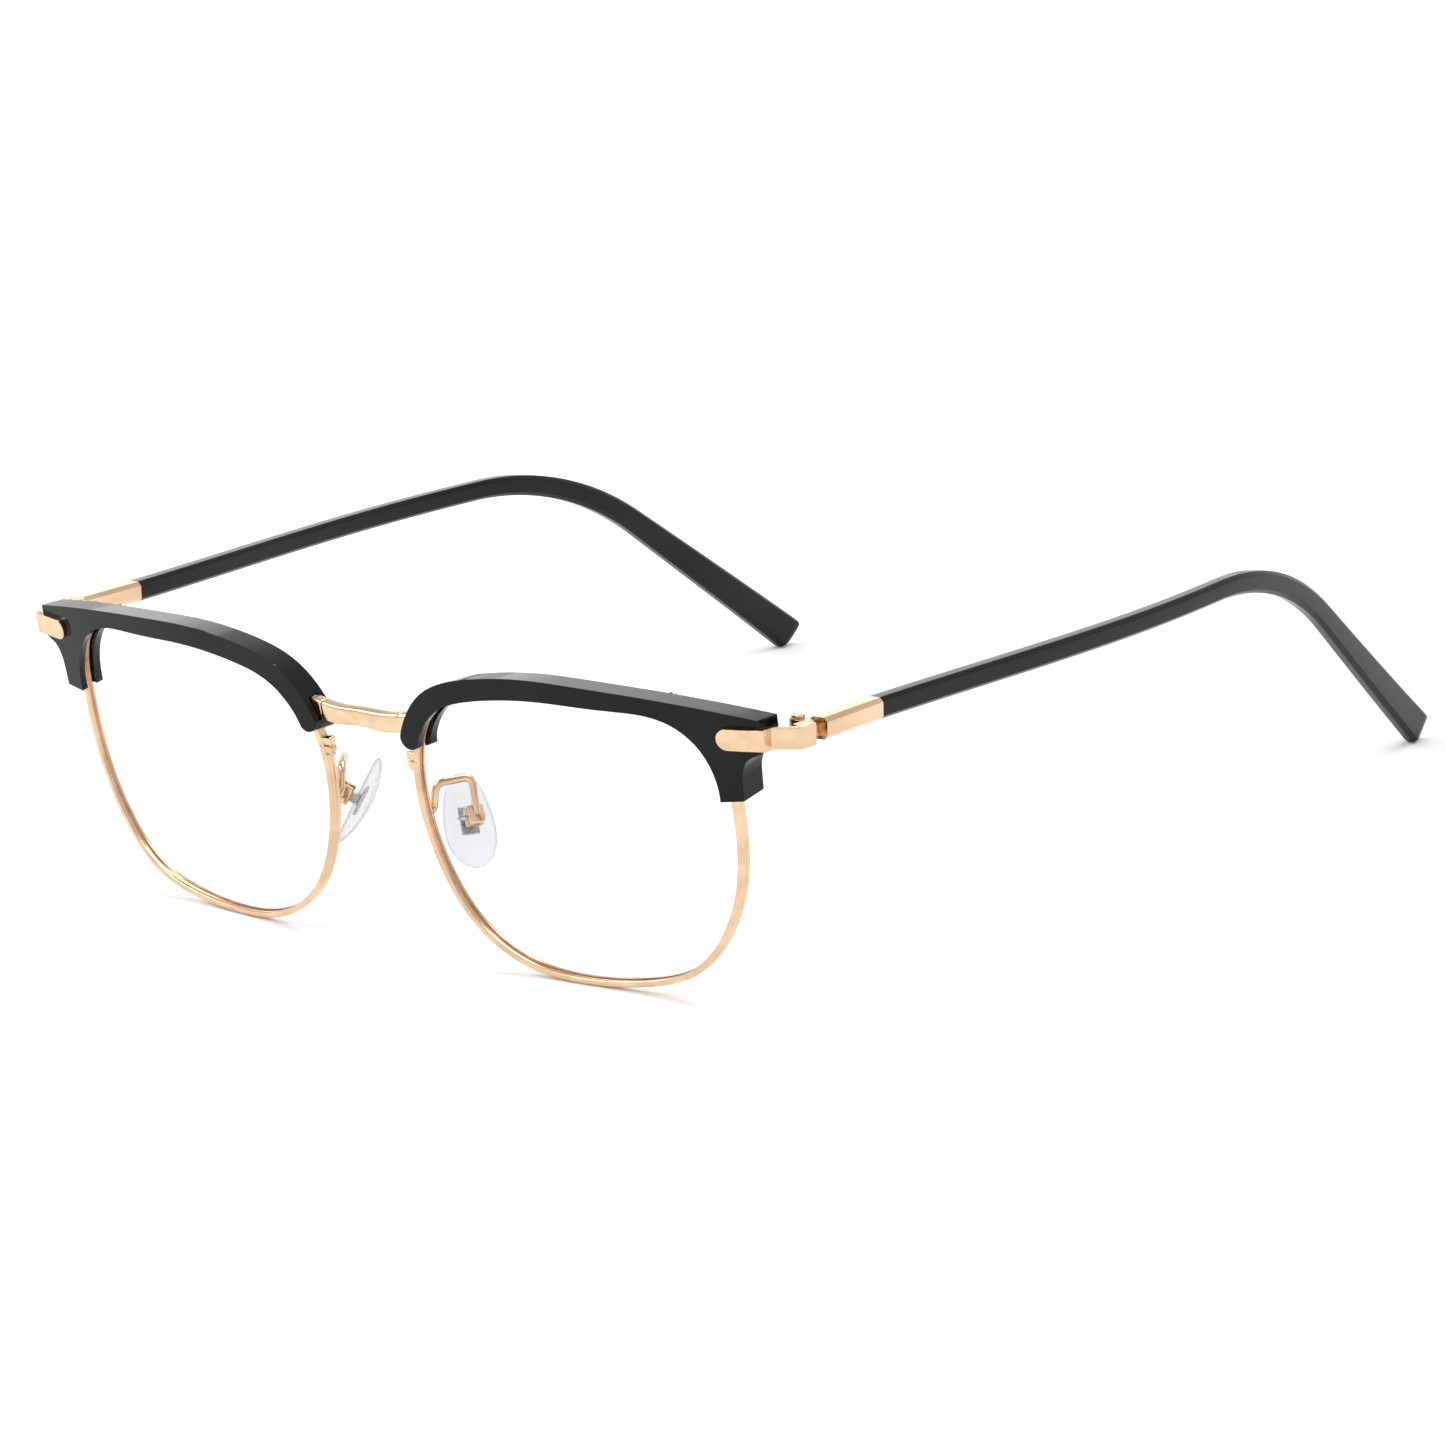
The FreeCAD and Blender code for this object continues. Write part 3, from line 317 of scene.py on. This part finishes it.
def silicone():
    """Soft clear silicone: a little milky, greyer where it is seen edge on."""
    n = Nodes("clear_silicone")
    side = n.add("ShaderNodeLayerWeight", Blend=0.5).outputs["Facing"]
    n.link(n.ramp(n.noise(0.5), (0.62, 0.64, 0.65, 1), (0.70, 0.72, 0.73, 1)),
           n.shader.inputs["Base Color"])
    n.link(n.spread(n.noise(1.5, 4), 0.12, 0.22), n.shader.inputs["Roughness"])
    n.bump(n.noise(1.2, 2), 0.15, 0.02)
    through = n.add("ShaderNodeBsdfTransparent")
    n.link(n.ramp(side, (0.93, 0.94, 0.945, 1), (0.60, 0.63, 0.64, 1), 0.3, 1.0),
           through.inputs["Color"])
    mix = n.add("ShaderNodeMixShader")
    n.link(n.spread(side, 0.2, 0.6, 0.3, 1.0), mix.inputs["Fac"])
    n.link(through.outputs["BSDF"], mix.inputs[1])
    n.link(n.shader.outputs["BSDF"], mix.inputs[2])
    n.link(mix.outputs["Shader"], n.output.inputs["Surface"])
    return n.material


MATERIALS = {
    "black_plastic": black_plastic(),
    "gold_metal": gold("gold_plating", (0.82, 0.595, 0.395, 1), (0.70, 0.48, 0.30, 1), 0.16),
    "bridge_metal": gold("rose_gold_plating", (0.83, 0.61, 0.41, 1), (0.70, 0.49, 0.31, 1), 0.14),
    "steel": steel(),
    "clear_lens": thin_clear("lens_glass", (0.99, 0.99, 1, 1), (0.80, 0.78, 0.95, 1),
                             (0.75, 0.72, 1.0, 1), 0.01, 0.25, 0.05),
    "clear_pad": silicone(),
}


def paint_cad_nodes():
    for name, node in frame["nodes"].items():
        node.data.materials.clear()
        node.data.materials.append(MATERIALS[SLOTS[name]])


# ---- meshes ----

def add_piece(name, points, faces, slot, body, replaced=(), crease=40):
    """A new piece from points in millimetres, shaded smooth but for edges over crease."""
    mesh = bpy.data.meshes.new(name)
    mesh.from_pydata([tuple(p * MM) for p in np.asarray(points)], [], faces)
    work = bmesh.new()
    work.from_mesh(mesh)
    bmesh.ops.remove_doubles(work, verts=work.verts, dist=1e-6)
    bmesh.ops.recalc_face_normals(work, faces=work.faces)
    for face in work.faces:
        face.smooth = True
    for edge in work.edges:
        edge.smooth = len(edge.link_faces) != 2 or edge.calc_face_angle(0) < math.radians(crease)
    work.to_mesh(mesh)
    work.free()
    mesh.materials.append(MATERIALS[slot])
    piece = bpy.data.objects.new(name, mesh)
    bpy.context.scene.collection.objects.link(piece)
    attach(piece, body)
    if replaced:
        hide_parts(*replaced)
    return piece


def grid_faces(rows, columns, closed_rows=False, ends=False):
    """Quads over rows of points, each row a closed ring; ends closes the first and last."""
    faces = []
    for i in range(rows if closed_rows else rows - 1):
        a, b = i * columns, (i + 1) % rows * columns
        faces += [(a + j, a + (j + 1) % columns, b + (j + 1) % columns, b + j)
                  for j in range(columns)]
    if ends:
        faces.append(tuple(range(columns))[::-1])
        faces.append(tuple((rows - 1) * columns + j for j in range(columns)))
    return faces


def chamfered_section(width, height, chamfer, rounding, steps=4):
    """A ring round a chamfered rectangle whose eight corners are rounded."""
    w, h = width / 2, height / 2
    corners = [(w, -h + chamfer), (w, h - chamfer), (w - chamfer, h), (chamfer - w, h),
               (-w, h - chamfer), (-w, chamfer - h), (chamfer - w, -h), (w - chamfer, -h)]
    return rounded_ring(corners, [rounding] * len(corners), steps)


def rounded_ring(corners, radii, steps):
    """A closed ring of points: the polygon with each corner rounded by its own radius."""
    corners = np.array(corners, float)
    ring = []
    for i, radius in enumerate(radii):
        corner = corners[i]
        before, after = corners[i - 1] - corner, corners[(i + 1) % len(corners)] - corner
        reach_before, reach_after = np.linalg.norm(before), np.linalg.norm(after)
        before, after = before / reach_before, after / reach_after
        half = math.acos(max(-1, min(1, before @ after))) / 2
        reach = min(radius / math.tan(half), reach_before / 2.01, reach_after / 2.01)
        for k in range(steps + 1):
            t = k / steps
            ring.append(corner + before * reach * (1 - t) ** 2 + after * reach * t ** 2)
    return np.array(ring)


def softened(node_name, width, segments=3, corner=35):
    """A copy of a CAD node whose sharp edges are rounded off by width, in millimetres."""
    node = frame["nodes"][node_name]
    mesh = bpy.data.meshes.new("soft_" + node_name)
    work = bmesh.new()
    work.from_mesh(node.data)
    bmesh.ops.remove_doubles(work, verts=work.verts, dist=0.008 * MM)
    bmesh.ops.dissolve_limit(work, angle_limit=math.radians(0.3), use_dissolve_boundaries=False,
                             verts=work.verts, edges=work.edges)
    sharp = [edge for edge in work.edges if len(edge.link_faces) == 2
             and edge.calc_face_angle(0) > math.radians(corner)]
    bmesh.ops.bevel(work, geom=sharp, offset=width * MM, offset_type="OFFSET",
                    segments=segments, profile=0.5, affect="EDGES", clamp_overlap=True)
    for face in work.faces:
        face.smooth = True
    for edge in work.edges:
        edge.smooth = edge.calc_face_angle(0) < math.radians(corner)
    work.to_mesh(mesh)
    work.free()
    slot = SLOTS[node_name]
    mesh.materials.append(MATERIALS[slot])
    piece = bpy.data.objects.new("soft_" + node_name, mesh)
    bpy.context.scene.collection.objects.link(piece)
    normals = piece.modifiers.new("normals", "WEIGHTED_NORMAL")
    normals.keep_sharp = True
    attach(piece, BODIES[node_name])
    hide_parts(node_name)


def mirrored(points, side):
    return np.asarray(points) * (side, 1, 1)


# ---- temples ----

TIP_SINK = 0.36
TIP_ROUND = 1.1
STRAIGHT_STEPS = 40
BEND_STEPS = 41
EAR_STEPS = 60


def temple_lines():
    """Top and bottom lines of the temple from the side, as matching (y, z) points."""
    start = HINGE.y + SLEEVE_FROM_HINGE + SLEEVE_LENGTH
    bend = np.array([start + BEND_REACH, HINGE.z])
    along = np.array([math.cos(BEND_ANGLE), -math.sin(BEND_ANGLE)])
    up = np.array([math.sin(BEND_ANGLE), math.cos(BEND_ANGLE)])
    reach = tip_reach(bend, along, up)
    lines = []
    for side in (1, -1):
        near = bend + up * side * TEMPLE_HEIGHT / 2
        tip = bend + along * (reach + side * math.tan(TIP_RAKE) * TIP_HEIGHT / 2)
        tip = tip + up * side * TIP_HEIGHT / 2
        level = HINGE.z + side * TEMPLE_HEIGHT / 2
        corner = near + (tip - near) * (level - near[1]) / (tip[1] - near[1])
        first = np.array([start, level])
        back, ahead = np.array([-1.0, 0.0]), (tip - corner) / np.linalg.norm(tip - corner)
        radius = BEND_RADIUS + side * TEMPLE_HEIGHT / 2
        half = math.acos(back @ ahead) / 2
        cut = radius / math.tan(half)
        turn = math.pi - 2 * half
        entry = corner + back * cut
        arc = [entry + radius * np.array([math.sin(a), math.cos(a) - 1])
               for a in np.linspace(0, turn, BEND_STEPS)]
        lines.append(np.vstack([np.linspace(first, entry, STRAIGHT_STEPS)[:-1], arc,
                                np.linspace(arc[-1], tip, EAR_STEPS)[1:]]))
    return lines


def tip_reach(bend, along, up):
    """From the bend to the tip, so that the tip's lower corner stands on the table."""
    low = bend - up * TIP_HEIGHT / 2 - along * math.tan(TIP_RAKE) * TIP_HEIGHT / 2
    return (low[1] + TIP_SINK) / -along[1]


def temple_line():
    """Middle of the temple in plan: x as a function of y."""
    start = HINGE.y + SLEEVE_FROM_HINGE + SLEEVE_LENGTH
    shape = [(0.0, 0.0), (0.20, 0.66 * TEMPLE_BOW), (0.38, TEMPLE_BOW), (0.56, 0.5 * TEMPLE_BOW),
             (0.78, -0.4 * TIP_CURVE), (1.0, -TIP_CURVE)]
    bend_y = start + BEND_REACH
    reach = (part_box("temple_left")[1].y / MM - bend_y)
    span = BEND_REACH + reach + TIP_HEIGHT
    middle = HINGE.x + STRIP_END_FROM_HINGE - SLEEVE_THICKNESS / 2
    at = cubic_through([y for y, _ in shape], [(x,) for _, x in shape])
    return lambda y: middle + at((np.asarray(y) - start) / span)[:, 0]


def temple(name, side):
    top, bottom = temple_lines()
    x_at = temple_line()
    middle = (top + bottom) / 2
    rows = []
    total = lengths(middle)
    for i, (high, low, mid) in enumerate(zip(top, bottom, middle)):
        share = total[i] / total[-1]
        height = np.linalg.norm(high - low)
        up = (high - low) / height
        to_tip = total[-1] - total[i]
        soften = TIP_ROUND - math.sqrt(max(0, TIP_ROUND ** 2 - max(0, TIP_ROUND - to_tip) ** 2))
        ring = chamfered_section(TEMPLE_THICKNESS - soften, height - 2 * soften,
                                 0.5 + 0.15 * share, 0.12 + 0.35 * share)
        offset = ring[:, 1:2] * up
        y = mid[0] + offset[:, 0]
        z = mid[1] + offset[:, 1]
        rows.append(np.stack([x_at(y) + ring[:, 0], y, z], 1))
    points = mirrored(np.vstack(rows), side)
    add_piece("temple_arm_" + name, points, grid_faces(len(rows), len(rows[0]), ends=True),
              "black_plastic", "temple_" + name, ["temple_" + name])


# ---- eyewires ----

GROOVE_DEPTH = 0.35
GROOVE_WIDTH = 0.7
LOCK_DROP = 15.1
LOCK_HEIGHT = 2.4
LOCK_WIDTH = 1.25
LOCK_SLIT = 0.25
LINE_DEPTH = 0.07
LINE_WIDTH = 0.22
RING_STEPS = 220
NOSE_SIDE = (0.90, 1.10)
HALVINGS = 40


def share_at_height(height):
    """Share of the way round at which the eyewire's nose side reaches a height."""
    low, high = NOSE_SIDE
    rising = eye_points([high])[0][1] > eye_points([low])[0][1]
    for _ in range(HALVINGS):
        middle = (low + high) / 2
        if (eye_points([middle])[0][1] < height) == rising:
            low = middle
        else:
            high = middle
    return (low + high) / 2


def eyewire_section():
    """The wire cut across, as (outward, depth): soft corners, a fine line, the lens groove."""
    w, d, mid = EYEWIRE_WIDTH, EYEWIRE_DEPTH, EYEWIRE_DEPTH / 2
    corners = [(0, 0), (0, mid - LINE_WIDTH), (-LINE_DEPTH, mid), (0, mid + LINE_WIDTH), (0, d),
               (-w, d), (-w, mid + GROOVE_WIDTH / 2),
               (GROOVE_DEPTH - w, mid + GROOVE_WIDTH / 2),
               (GROOVE_DEPTH - w, mid - GROOVE_WIDTH / 2), (-w, mid - GROOVE_WIDTH / 2), (-w, 0)]
    radii = [0.24, 0.05, 0.04, 0.05, 0.24, 0.2, 0.05, 0.05, 0.05, 0.05, 0.2]
    return rounded_ring(corners, radii, 4)


def eyewire(name, side):
    """The ring, open by a slit at the nose side, and the closing block's two halves there."""
    section = eyewire_section()
    level = CREST - LOCK_DROP
    ends = [share_at_height(level + half * LOCK_SLIT / 2) for half in (-1, 1)]
    shares = np.linspace(ends[0], ends[1] - 1, RING_STEPS)
    rows = []
    for outward, layer in section:
        edge = eye_points(shares, outward)
        rows.append(np.column_stack([edge[:, 0], front_depth(edge[:, 0], layer), edge[:, 1]]))
    rings = np.stack(rows, 1).reshape(-1, 3)
    add_piece("eyewire_ring_" + name, mirrored(stood(rings), side),
              grid_faces(RING_STEPS, len(section), ends=True), "gold_metal", "front",
              ["eyewire_" + name], crease=50)
    edge = eye_points([share_at_height(level)])[0][0]
    for half, part in ((-1, "lower"), (1, "upper")):
        near, far = level + half * LOCK_SLIT / 2, level + half * LOCK_HEIGHT / 2
        block(edge, near, far, "rim_lock_%s_%s" % (part, name), side)


def block(edge, near, far, name, side):
    """Half of a rim lock: a small block with soft edges beside the wire."""
    corners = [(edge - LOCK_WIDTH, 0.15), (edge + 0.3, 0.15), (edge + 0.3, EYEWIRE_DEPTH - 0.15),
               (edge - LOCK_WIDTH, EYEWIRE_DEPTH - 0.15)]
    ring = rounded_ring(corners, [0.3, 0.05, 0.05, 0.3], 4)
    middle = ring.mean(axis=0)
    rows = []
    for share, inset in ((0, 0.06), (0.04, 0), (0.82, 0), (0.94, 0.05), (1, 0.16)):
        shrunk = middle + (ring - middle) * (1 - inset / LOCK_WIDTH)
        height = near + (far - near) * share
        rows.append(np.column_stack([shrunk[:, 0], shrunk[:, 1] + front_depth(edge),
                                     np.full(len(ring), height)]))
    add_piece(name, mirrored(stood(np.vstack(rows)), side),
              grid_faces(len(rows), len(ring), ends=True), "gold_metal", "front", crease=50)


# ---- bridge ----

BRIDGE_HEIGHT = 2.9
BRIDGE_DEPTH = 1.9
BRIDGE_DROP = 9.6
BRIDGE_ARCH = 0.6
BRIDGE_FORWARD = 0.2
BRIDGE_REACH = 3.0
BRIDGE_JOINT = 7.0
BRIDGE_SHORT = 0.9
BRIDGE_STEPS = 61


def bridge():
    """The bar over the nose: swelling and dipping a little, with a seam before each wire."""
    half = NOSE_EDGE + BRIDGE_REACH - BRIDGE_SHORT
    seam = [BRIDGE_JOINT - 0.16, BRIDGE_JOINT - 0.06, BRIDGE_JOINT + 0.06, BRIDGE_JOINT + 0.16]
    even = np.linspace(-half, half, BRIDGE_STEPS)
    spots = np.unique(np.concatenate([even, seam, -np.array(seam)]))
    section = rounded_ring([(-BRIDGE_DEPTH / 2, -BRIDGE_HEIGHT / 2),
                            (BRIDGE_DEPTH / 2, -BRIDGE_HEIGHT / 2),
                            (BRIDGE_DEPTH / 2, BRIDGE_HEIGHT / 2),
                            (-BRIDGE_DEPTH / 2, BRIDGE_HEIGHT / 2)], [0.75, 0.6, 0.6, 0.75], 6)
    rows = []
    for across in spots:
        share = abs(across) / half
        front = (BRIDGE_ARCH * (across / NOSE_EDGE) ** 2 - BRIDGE_FORWARD - BRIDGE_ARCH)
        thin = 1 - 0.07 * max(0, 1 - abs(abs(across) - BRIDGE_JOINT) / 0.15)
        swell = min(1, 2 * share)
        size = thin * (0.9 + 0.1 * swell * swell * (3 - 2 * swell))
        dip = -0.22 * math.sin(math.pi * min(1, share * 1.15)) ** 2
        ring = section * size
        rows.append(np.column_stack([np.full(len(ring), across),
                                     front + BRIDGE_DEPTH / 2 + ring[:, 0],
                                     CREST - BRIDGE_DROP + dip + ring[:, 1]]))
    add_piece("bridge_bar", stood(np.vstack(rows)),
              grid_faces(len(rows), len(section), ends=True), "bridge_metal", "front",
              ["bridge"], crease=60)


# ---- nose pads ----

PAD_LENGTH = 13.6
PAD_WIDTH = 7.2
PAD_THICKNESS = 2.3
PAD_EDGE = 0.4
PAD_STEM = 2.9
PAD_AXIS = (-0.40, 0.38, 0.83)
PAD_SHAPE = [(0.74, -0.74), (1.0, -0.22), (0.86, 0.37), (0.53, 0.82)]
# Rings of a nose pad from its back to its front: share of the outline, share of the thickness.
PAD_PROFILE = [(0.3, 0.0), (0.75, 0.0), (0.95, 0.03), (1.01, 0.22), (1.02, 0.6), (0.97, 0.93),
               (0.80, 1.0), (0.45, 1.0), (0.15, 1.0)]
PAD_POINTS = 28
BOX_HALF_WIDTH = 1.15
BOX_HALF_LENGTH = 1.3
BOX_BACK = -4.75
BOX_INNER = 0.55
BOX_WALL = 0.6
BOX_FRONT = -1.9
ARM_RADIUS = 0.55
ARM_ROOT_DROP = 23.2
ARM_RISE = 3.5
SCREW_RADIUS = 0.45
SCREW_HEAD = 0.85


def pad_frame():
    """The left pad's width, length and face directions, and its centre."""
    joint = next(j for j in frame["joints"] if j["name"] == "nose_pad_left_rock")
    width = np.array(joint["axis"], float)
    length = leaned([PAD_AXIS])[0]
    length -= width * (length @ width)
    length /= np.linalg.norm(length)
    face = np.cross(width, length)
    if face[0] > 0:
        width, face = -width, -face
    centre = np.array(joint["pos_m"]) / MM + face * PAD_STEM
    return width, length, face, centre


PAD_FRAME = pad_frame()


def on_pad(points):
    width, length, face, centre = PAD_FRAME
    points = np.asarray(points, float)
    return centre + points[:, :1] * width + points[:, 1:2] * length + points[:, 2:] * face


def pad_outline(count):
    half = [(x * PAD_WIDTH / 2, y * PAD_LENGTH / 2) for x, y in PAD_SHAPE]
    ring = ([(0, -PAD_LENGTH / 2)] + half + [(0, PAD_LENGTH / 2)]
            + [(-x, y) for x, y in reversed(half)])
    ring = np.array(ring + ring[:1])
    knots = lengths(ring)
    curve = cubic_through(knots, ring, closed=True)
    return curve(np.linspace(0, knots[-1], count, endpoint=False))


def nose_pad(name, side):
    """A drop-shaped pad, domed towards the nose, with a soft rounded rim."""
    outline = pad_outline(PAD_POINTS)
    drop = (1 - PAD_EDGE) * PAD_THICKNESS
    back = -PAD_THICKNESS / 2

    def dome(ring):
        return PAD_THICKNESS / 2 - drop * (ring ** 2).sum(1) / (PAD_LENGTH / 2) ** 2

    rows = []
    for scale, level in PAD_PROFILE:
        ring = outline * scale
        front = dome(ring)
        rows.append(np.column_stack([ring, back + (front - back) * level]))
    points = mirrored(on_pad(np.vstack(rows)), side)
    piece = add_piece("nose_pad_soft_" + name, points,
                      grid_faces(len(rows), len(outline), ends=True), "clear_pad",
                      "nose_pad_" + name, ["nose_pad_" + name], crease=180)
    smooth = piece.modifiers.new("smooth", "SUBSURF")
    smooth.levels = smooth.render_levels = 2


def rounded_line(corners, radii, steps=8):
    """A line of points through corners rounded by radii; the ends stay sharp."""
    corners = np.array(corners, float)
    line = [corners[0]]
    for before, corner, after, radius in zip(corners, corners[1:], corners[2:], radii):
        a, b = before - corner, after - corner
        reach = min(radius, np.linalg.norm(a) / 2.01, np.linalg.norm(b) / 2.01)
        a, b = a / np.linalg.norm(a) * reach, b / np.linalg.norm(b) * reach
        line += [corner + a * (1 - t) ** 2 + b * t ** 2 for t in np.linspace(0, 1, steps)]
    return np.array(line + [corners[-1]])


def tube_rows(line, radii, sides=14):
    """Rings round a line of points, turned as little as possible from one to the next."""
    line = np.asarray(line, float)
    along = np.gradient(line, axis=0)
    along /= np.linalg.norm(along, axis=1)[:, None]
    across = np.cross(along[0], (0.3, 0.2, 0.9))
    rows = []
    for spot, forward, radius in zip(line, along, np.broadcast_to(radii, len(line))):
        across = across - forward * (across @ forward)
        across /= np.linalg.norm(across)
        other = np.cross(forward, across)
        turn = np.arange(sides) * 2 * math.pi / sides
        rows.append(spot + radius * (np.outer(np.cos(turn), across)
                                     + np.outer(np.sin(turn), other)))
    return rows


def gooseneck(name, side):
    """The bent wire from the eyewire's back, up and over, down into the pad's box."""
    share = share_at_height(CREST - ARM_ROOT_DROP)
    edge = eye_points([share], -EYEWIRE_WIDTH / 2)[0]
    back = front_depth(edge[0]) + EYEWIRE_DEPTH
    root, out = stood([(edge[0], back - 0.1, edge[1]), (edge[0], back + 0.7, edge[1] + 0.4)])
    rise = stood([(edge[0] + 0.1, back + 1.7, edge[1] + ARM_RISE)])[0]
    into, over = on_pad([(0, 0, BOX_BACK + BOX_WALL / 2), (0, BOX_HALF_LENGTH + 2.6, BOX_BACK)])
    over = over + (0, 0, 1.3)
    line = rounded_line([root, out, rise, over, into], [0.8, 1.3, 1.2])
    rows = tube_rows(line, ARM_RADIUS)
    add_piece("pad_arm_wire_" + name, mirrored(np.vstack(rows), side),
              grid_faces(len(rows), len(rows[0]), ends=True), "gold_metal", "front",
              ["pad_arm_" + name])
    box(name, side)


def box(name, side):
    """The little rounded cradle that holds the pad's tab between two cheeks."""
    w, inner, floor = BOX_HALF_WIDTH, BOX_INNER, BOX_BACK + BOX_WALL
    corners = [(-w, BOX_FRONT), (-w, BOX_BACK), (w, BOX_BACK), (w, BOX_FRONT),
               (inner, BOX_FRONT), (inner, floor), (-inner, floor), (-inner, BOX_FRONT)]
    ring = rounded_ring(corners, [0.28, 0.75, 0.75, 0.28, 0.28, 0.2, 0.2, 0.28], 5)
    rows = []
    for y, inset in ((-1.0, 0.12), (-0.93, 0.03), (-0.84, 0.0), (0.84, 0.0), (0.93, 0.03),
                     (1.0, 0.12)):
        middle = np.array([0, (BOX_BACK + BOX_FRONT) / 2])
        shrunk = middle + (ring - middle) * (1 - inset / w)
        rows.append(np.column_stack([shrunk[:, 0], np.full(len(ring), y * BOX_HALF_LENGTH),
                                     shrunk[:, 1]]))
    add_piece("pad_box_" + name, mirrored(on_pad(np.vstack(rows)), side),
              grid_faces(len(rows), len(ring), ends=True), "gold_metal", "front")


def pad_screws():
    """Both pad screws, each with a domed head and a sharp point past the far cheek."""
    profile = [(BOX_HALF_WIDTH + 0.42, 0.02), (BOX_HALF_WIDTH + 0.4, 0.5),
               (BOX_HALF_WIDTH + 0.28, 0.78), (BOX_HALF_WIDTH + 0.1, SCREW_HEAD),
               (BOX_HALF_WIDTH, SCREW_HEAD), (BOX_HALF_WIDTH - 0.01, SCREW_RADIUS),
               (-BOX_HALF_WIDTH - 0.3, SCREW_RADIUS), (-BOX_HALF_WIDTH - 0.55, 0.4),
               (-BOX_HALF_WIDTH - 1.35, 0.04)]
    line = on_pad([(-x, 0, -PAD_STEM) for x, _ in profile])
    rows = tube_rows(line, [radius for _, radius in profile], sides=20)
    faces = grid_faces(len(rows), len(rows[0]), ends=True)
    points = np.vstack(rows)
    both = np.vstack([mirrored(points, side) for _, side in SIDES])
    add_piece("pad_screws_pointed", both,
              faces + [tuple(i + len(points) for i in face) for face in faces], "steel",
              "front", ["pad_screws"])


# ---- stage ----

FLOOR_HALF = 3.0
WORLD_STRENGTH = 0.95
# Area lights: name, place, point aimed at, width and height in metres, power in watts.
LIGHTS = [
    ("key", (-0.6, -0.5, 0.8), (0, 0, 0), 0.5, 0.5, 4.5),
    ("top", (0.1, 0.3, 1.0), (0, 0, 0), 1.0, 0.6, 5.5),
    ("back", (-0.85, 1.09, 0.42), (0, 0, 0.03), 1.4, 0.45, 1.4),
]


def area_light(name, place, aim, width, height, power):
    data = bpy.data.lights.new(name, "AREA")
    data.shape = "RECTANGLE"
    data.size, data.size_y = width, height
    data.energy = power
    light = bpy.data.objects.new(name, data)
    bpy.context.scene.collection.objects.link(light)
    light.location = place
    light.rotation_euler = (Vector(aim) - Vector(place)).to_track_quat("-Z", "Y").to_euler()


def make_floor():
    mesh = bpy.data.meshes.new("floor")
    half = FLOOR_HALF
    mesh.from_pydata([(-half, -half, 0), (half, -half, 0), (half, half, 0), (-half, half, 0)],
                     [], [(0, 1, 2, 3)])
    floor = bpy.data.objects.new("floor", mesh)
    bpy.context.scene.collection.objects.link(floor)
    n = Nodes("floor_paper")
    n.link(n.ramp(n.noise(0.02), grey(0.93), grey(0.95)), n.shader.inputs["Base Color"])
    n.set(Roughness=0.9, Specular_IOR_Level=0.1)
    mesh.materials.append(n.material)


def light_scene():
    world = bpy.data.worlds.new("studio")
    bpy.context.scene.world = world
    world.use_nodes = True
    tree = world.node_tree
    direction = tree.nodes.new("ShaderNodeTexCoord")
    split = tree.nodes.new("ShaderNodeSeparateXYZ")
    fade = tree.nodes.new("ShaderNodeValToRGB")
    for place, value in ((0.30, 0.9), (0.60, 0.8)):
        fade.color_ramp.elements.new(place).color = grey(value)
    fade.color_ramp.elements[0].color = grey(1.0)
    fade.color_ramp.elements[-1].color = grey(0.6)
    tree.links.new(direction.outputs["Generated"], split.inputs[0])
    tree.links.new(split.outputs["Z"], fade.inputs["Fac"])
    tree.links.new(fade.outputs["Color"], tree.nodes["Background"].inputs["Color"])
    tree.nodes["Background"].inputs["Strength"].default_value = WORLD_STRENGTH
    for light in LIGHTS:
        area_light(*light)
    bpy.context.scene.view_settings.view_transform = "Standard"


make_camera()
make_floor()
light_scene()
paint_cad_nodes()
for side_name, side_sign in SIDES:
    temple(side_name, side_sign)
    softened("brow_cap_" + side_name, 0.42, 4)
    eyewire(side_name, side_sign)
    softened("endpiece_" + side_name, 0.12)
    softened("temple_sleeve_" + side_name, 0.1)
    softened("hinge_front_" + side_name, 0.06, 2)
    softened("hinge_temple_" + side_name, 0.06, 2)
    softened("hinge_screw_" + side_name, 0.05, 2)
    nose_pad(side_name, side_sign)
    gooseneck(side_name, side_sign)
    softened("pad_insert_" + side_name, 0.2)
softened("rim_lock_screws", 0.04, 2)
pad_screws()
softened("cap_screws", 0.05, 2)
softened("endpiece_rivets", 0.05, 2)
bridge()
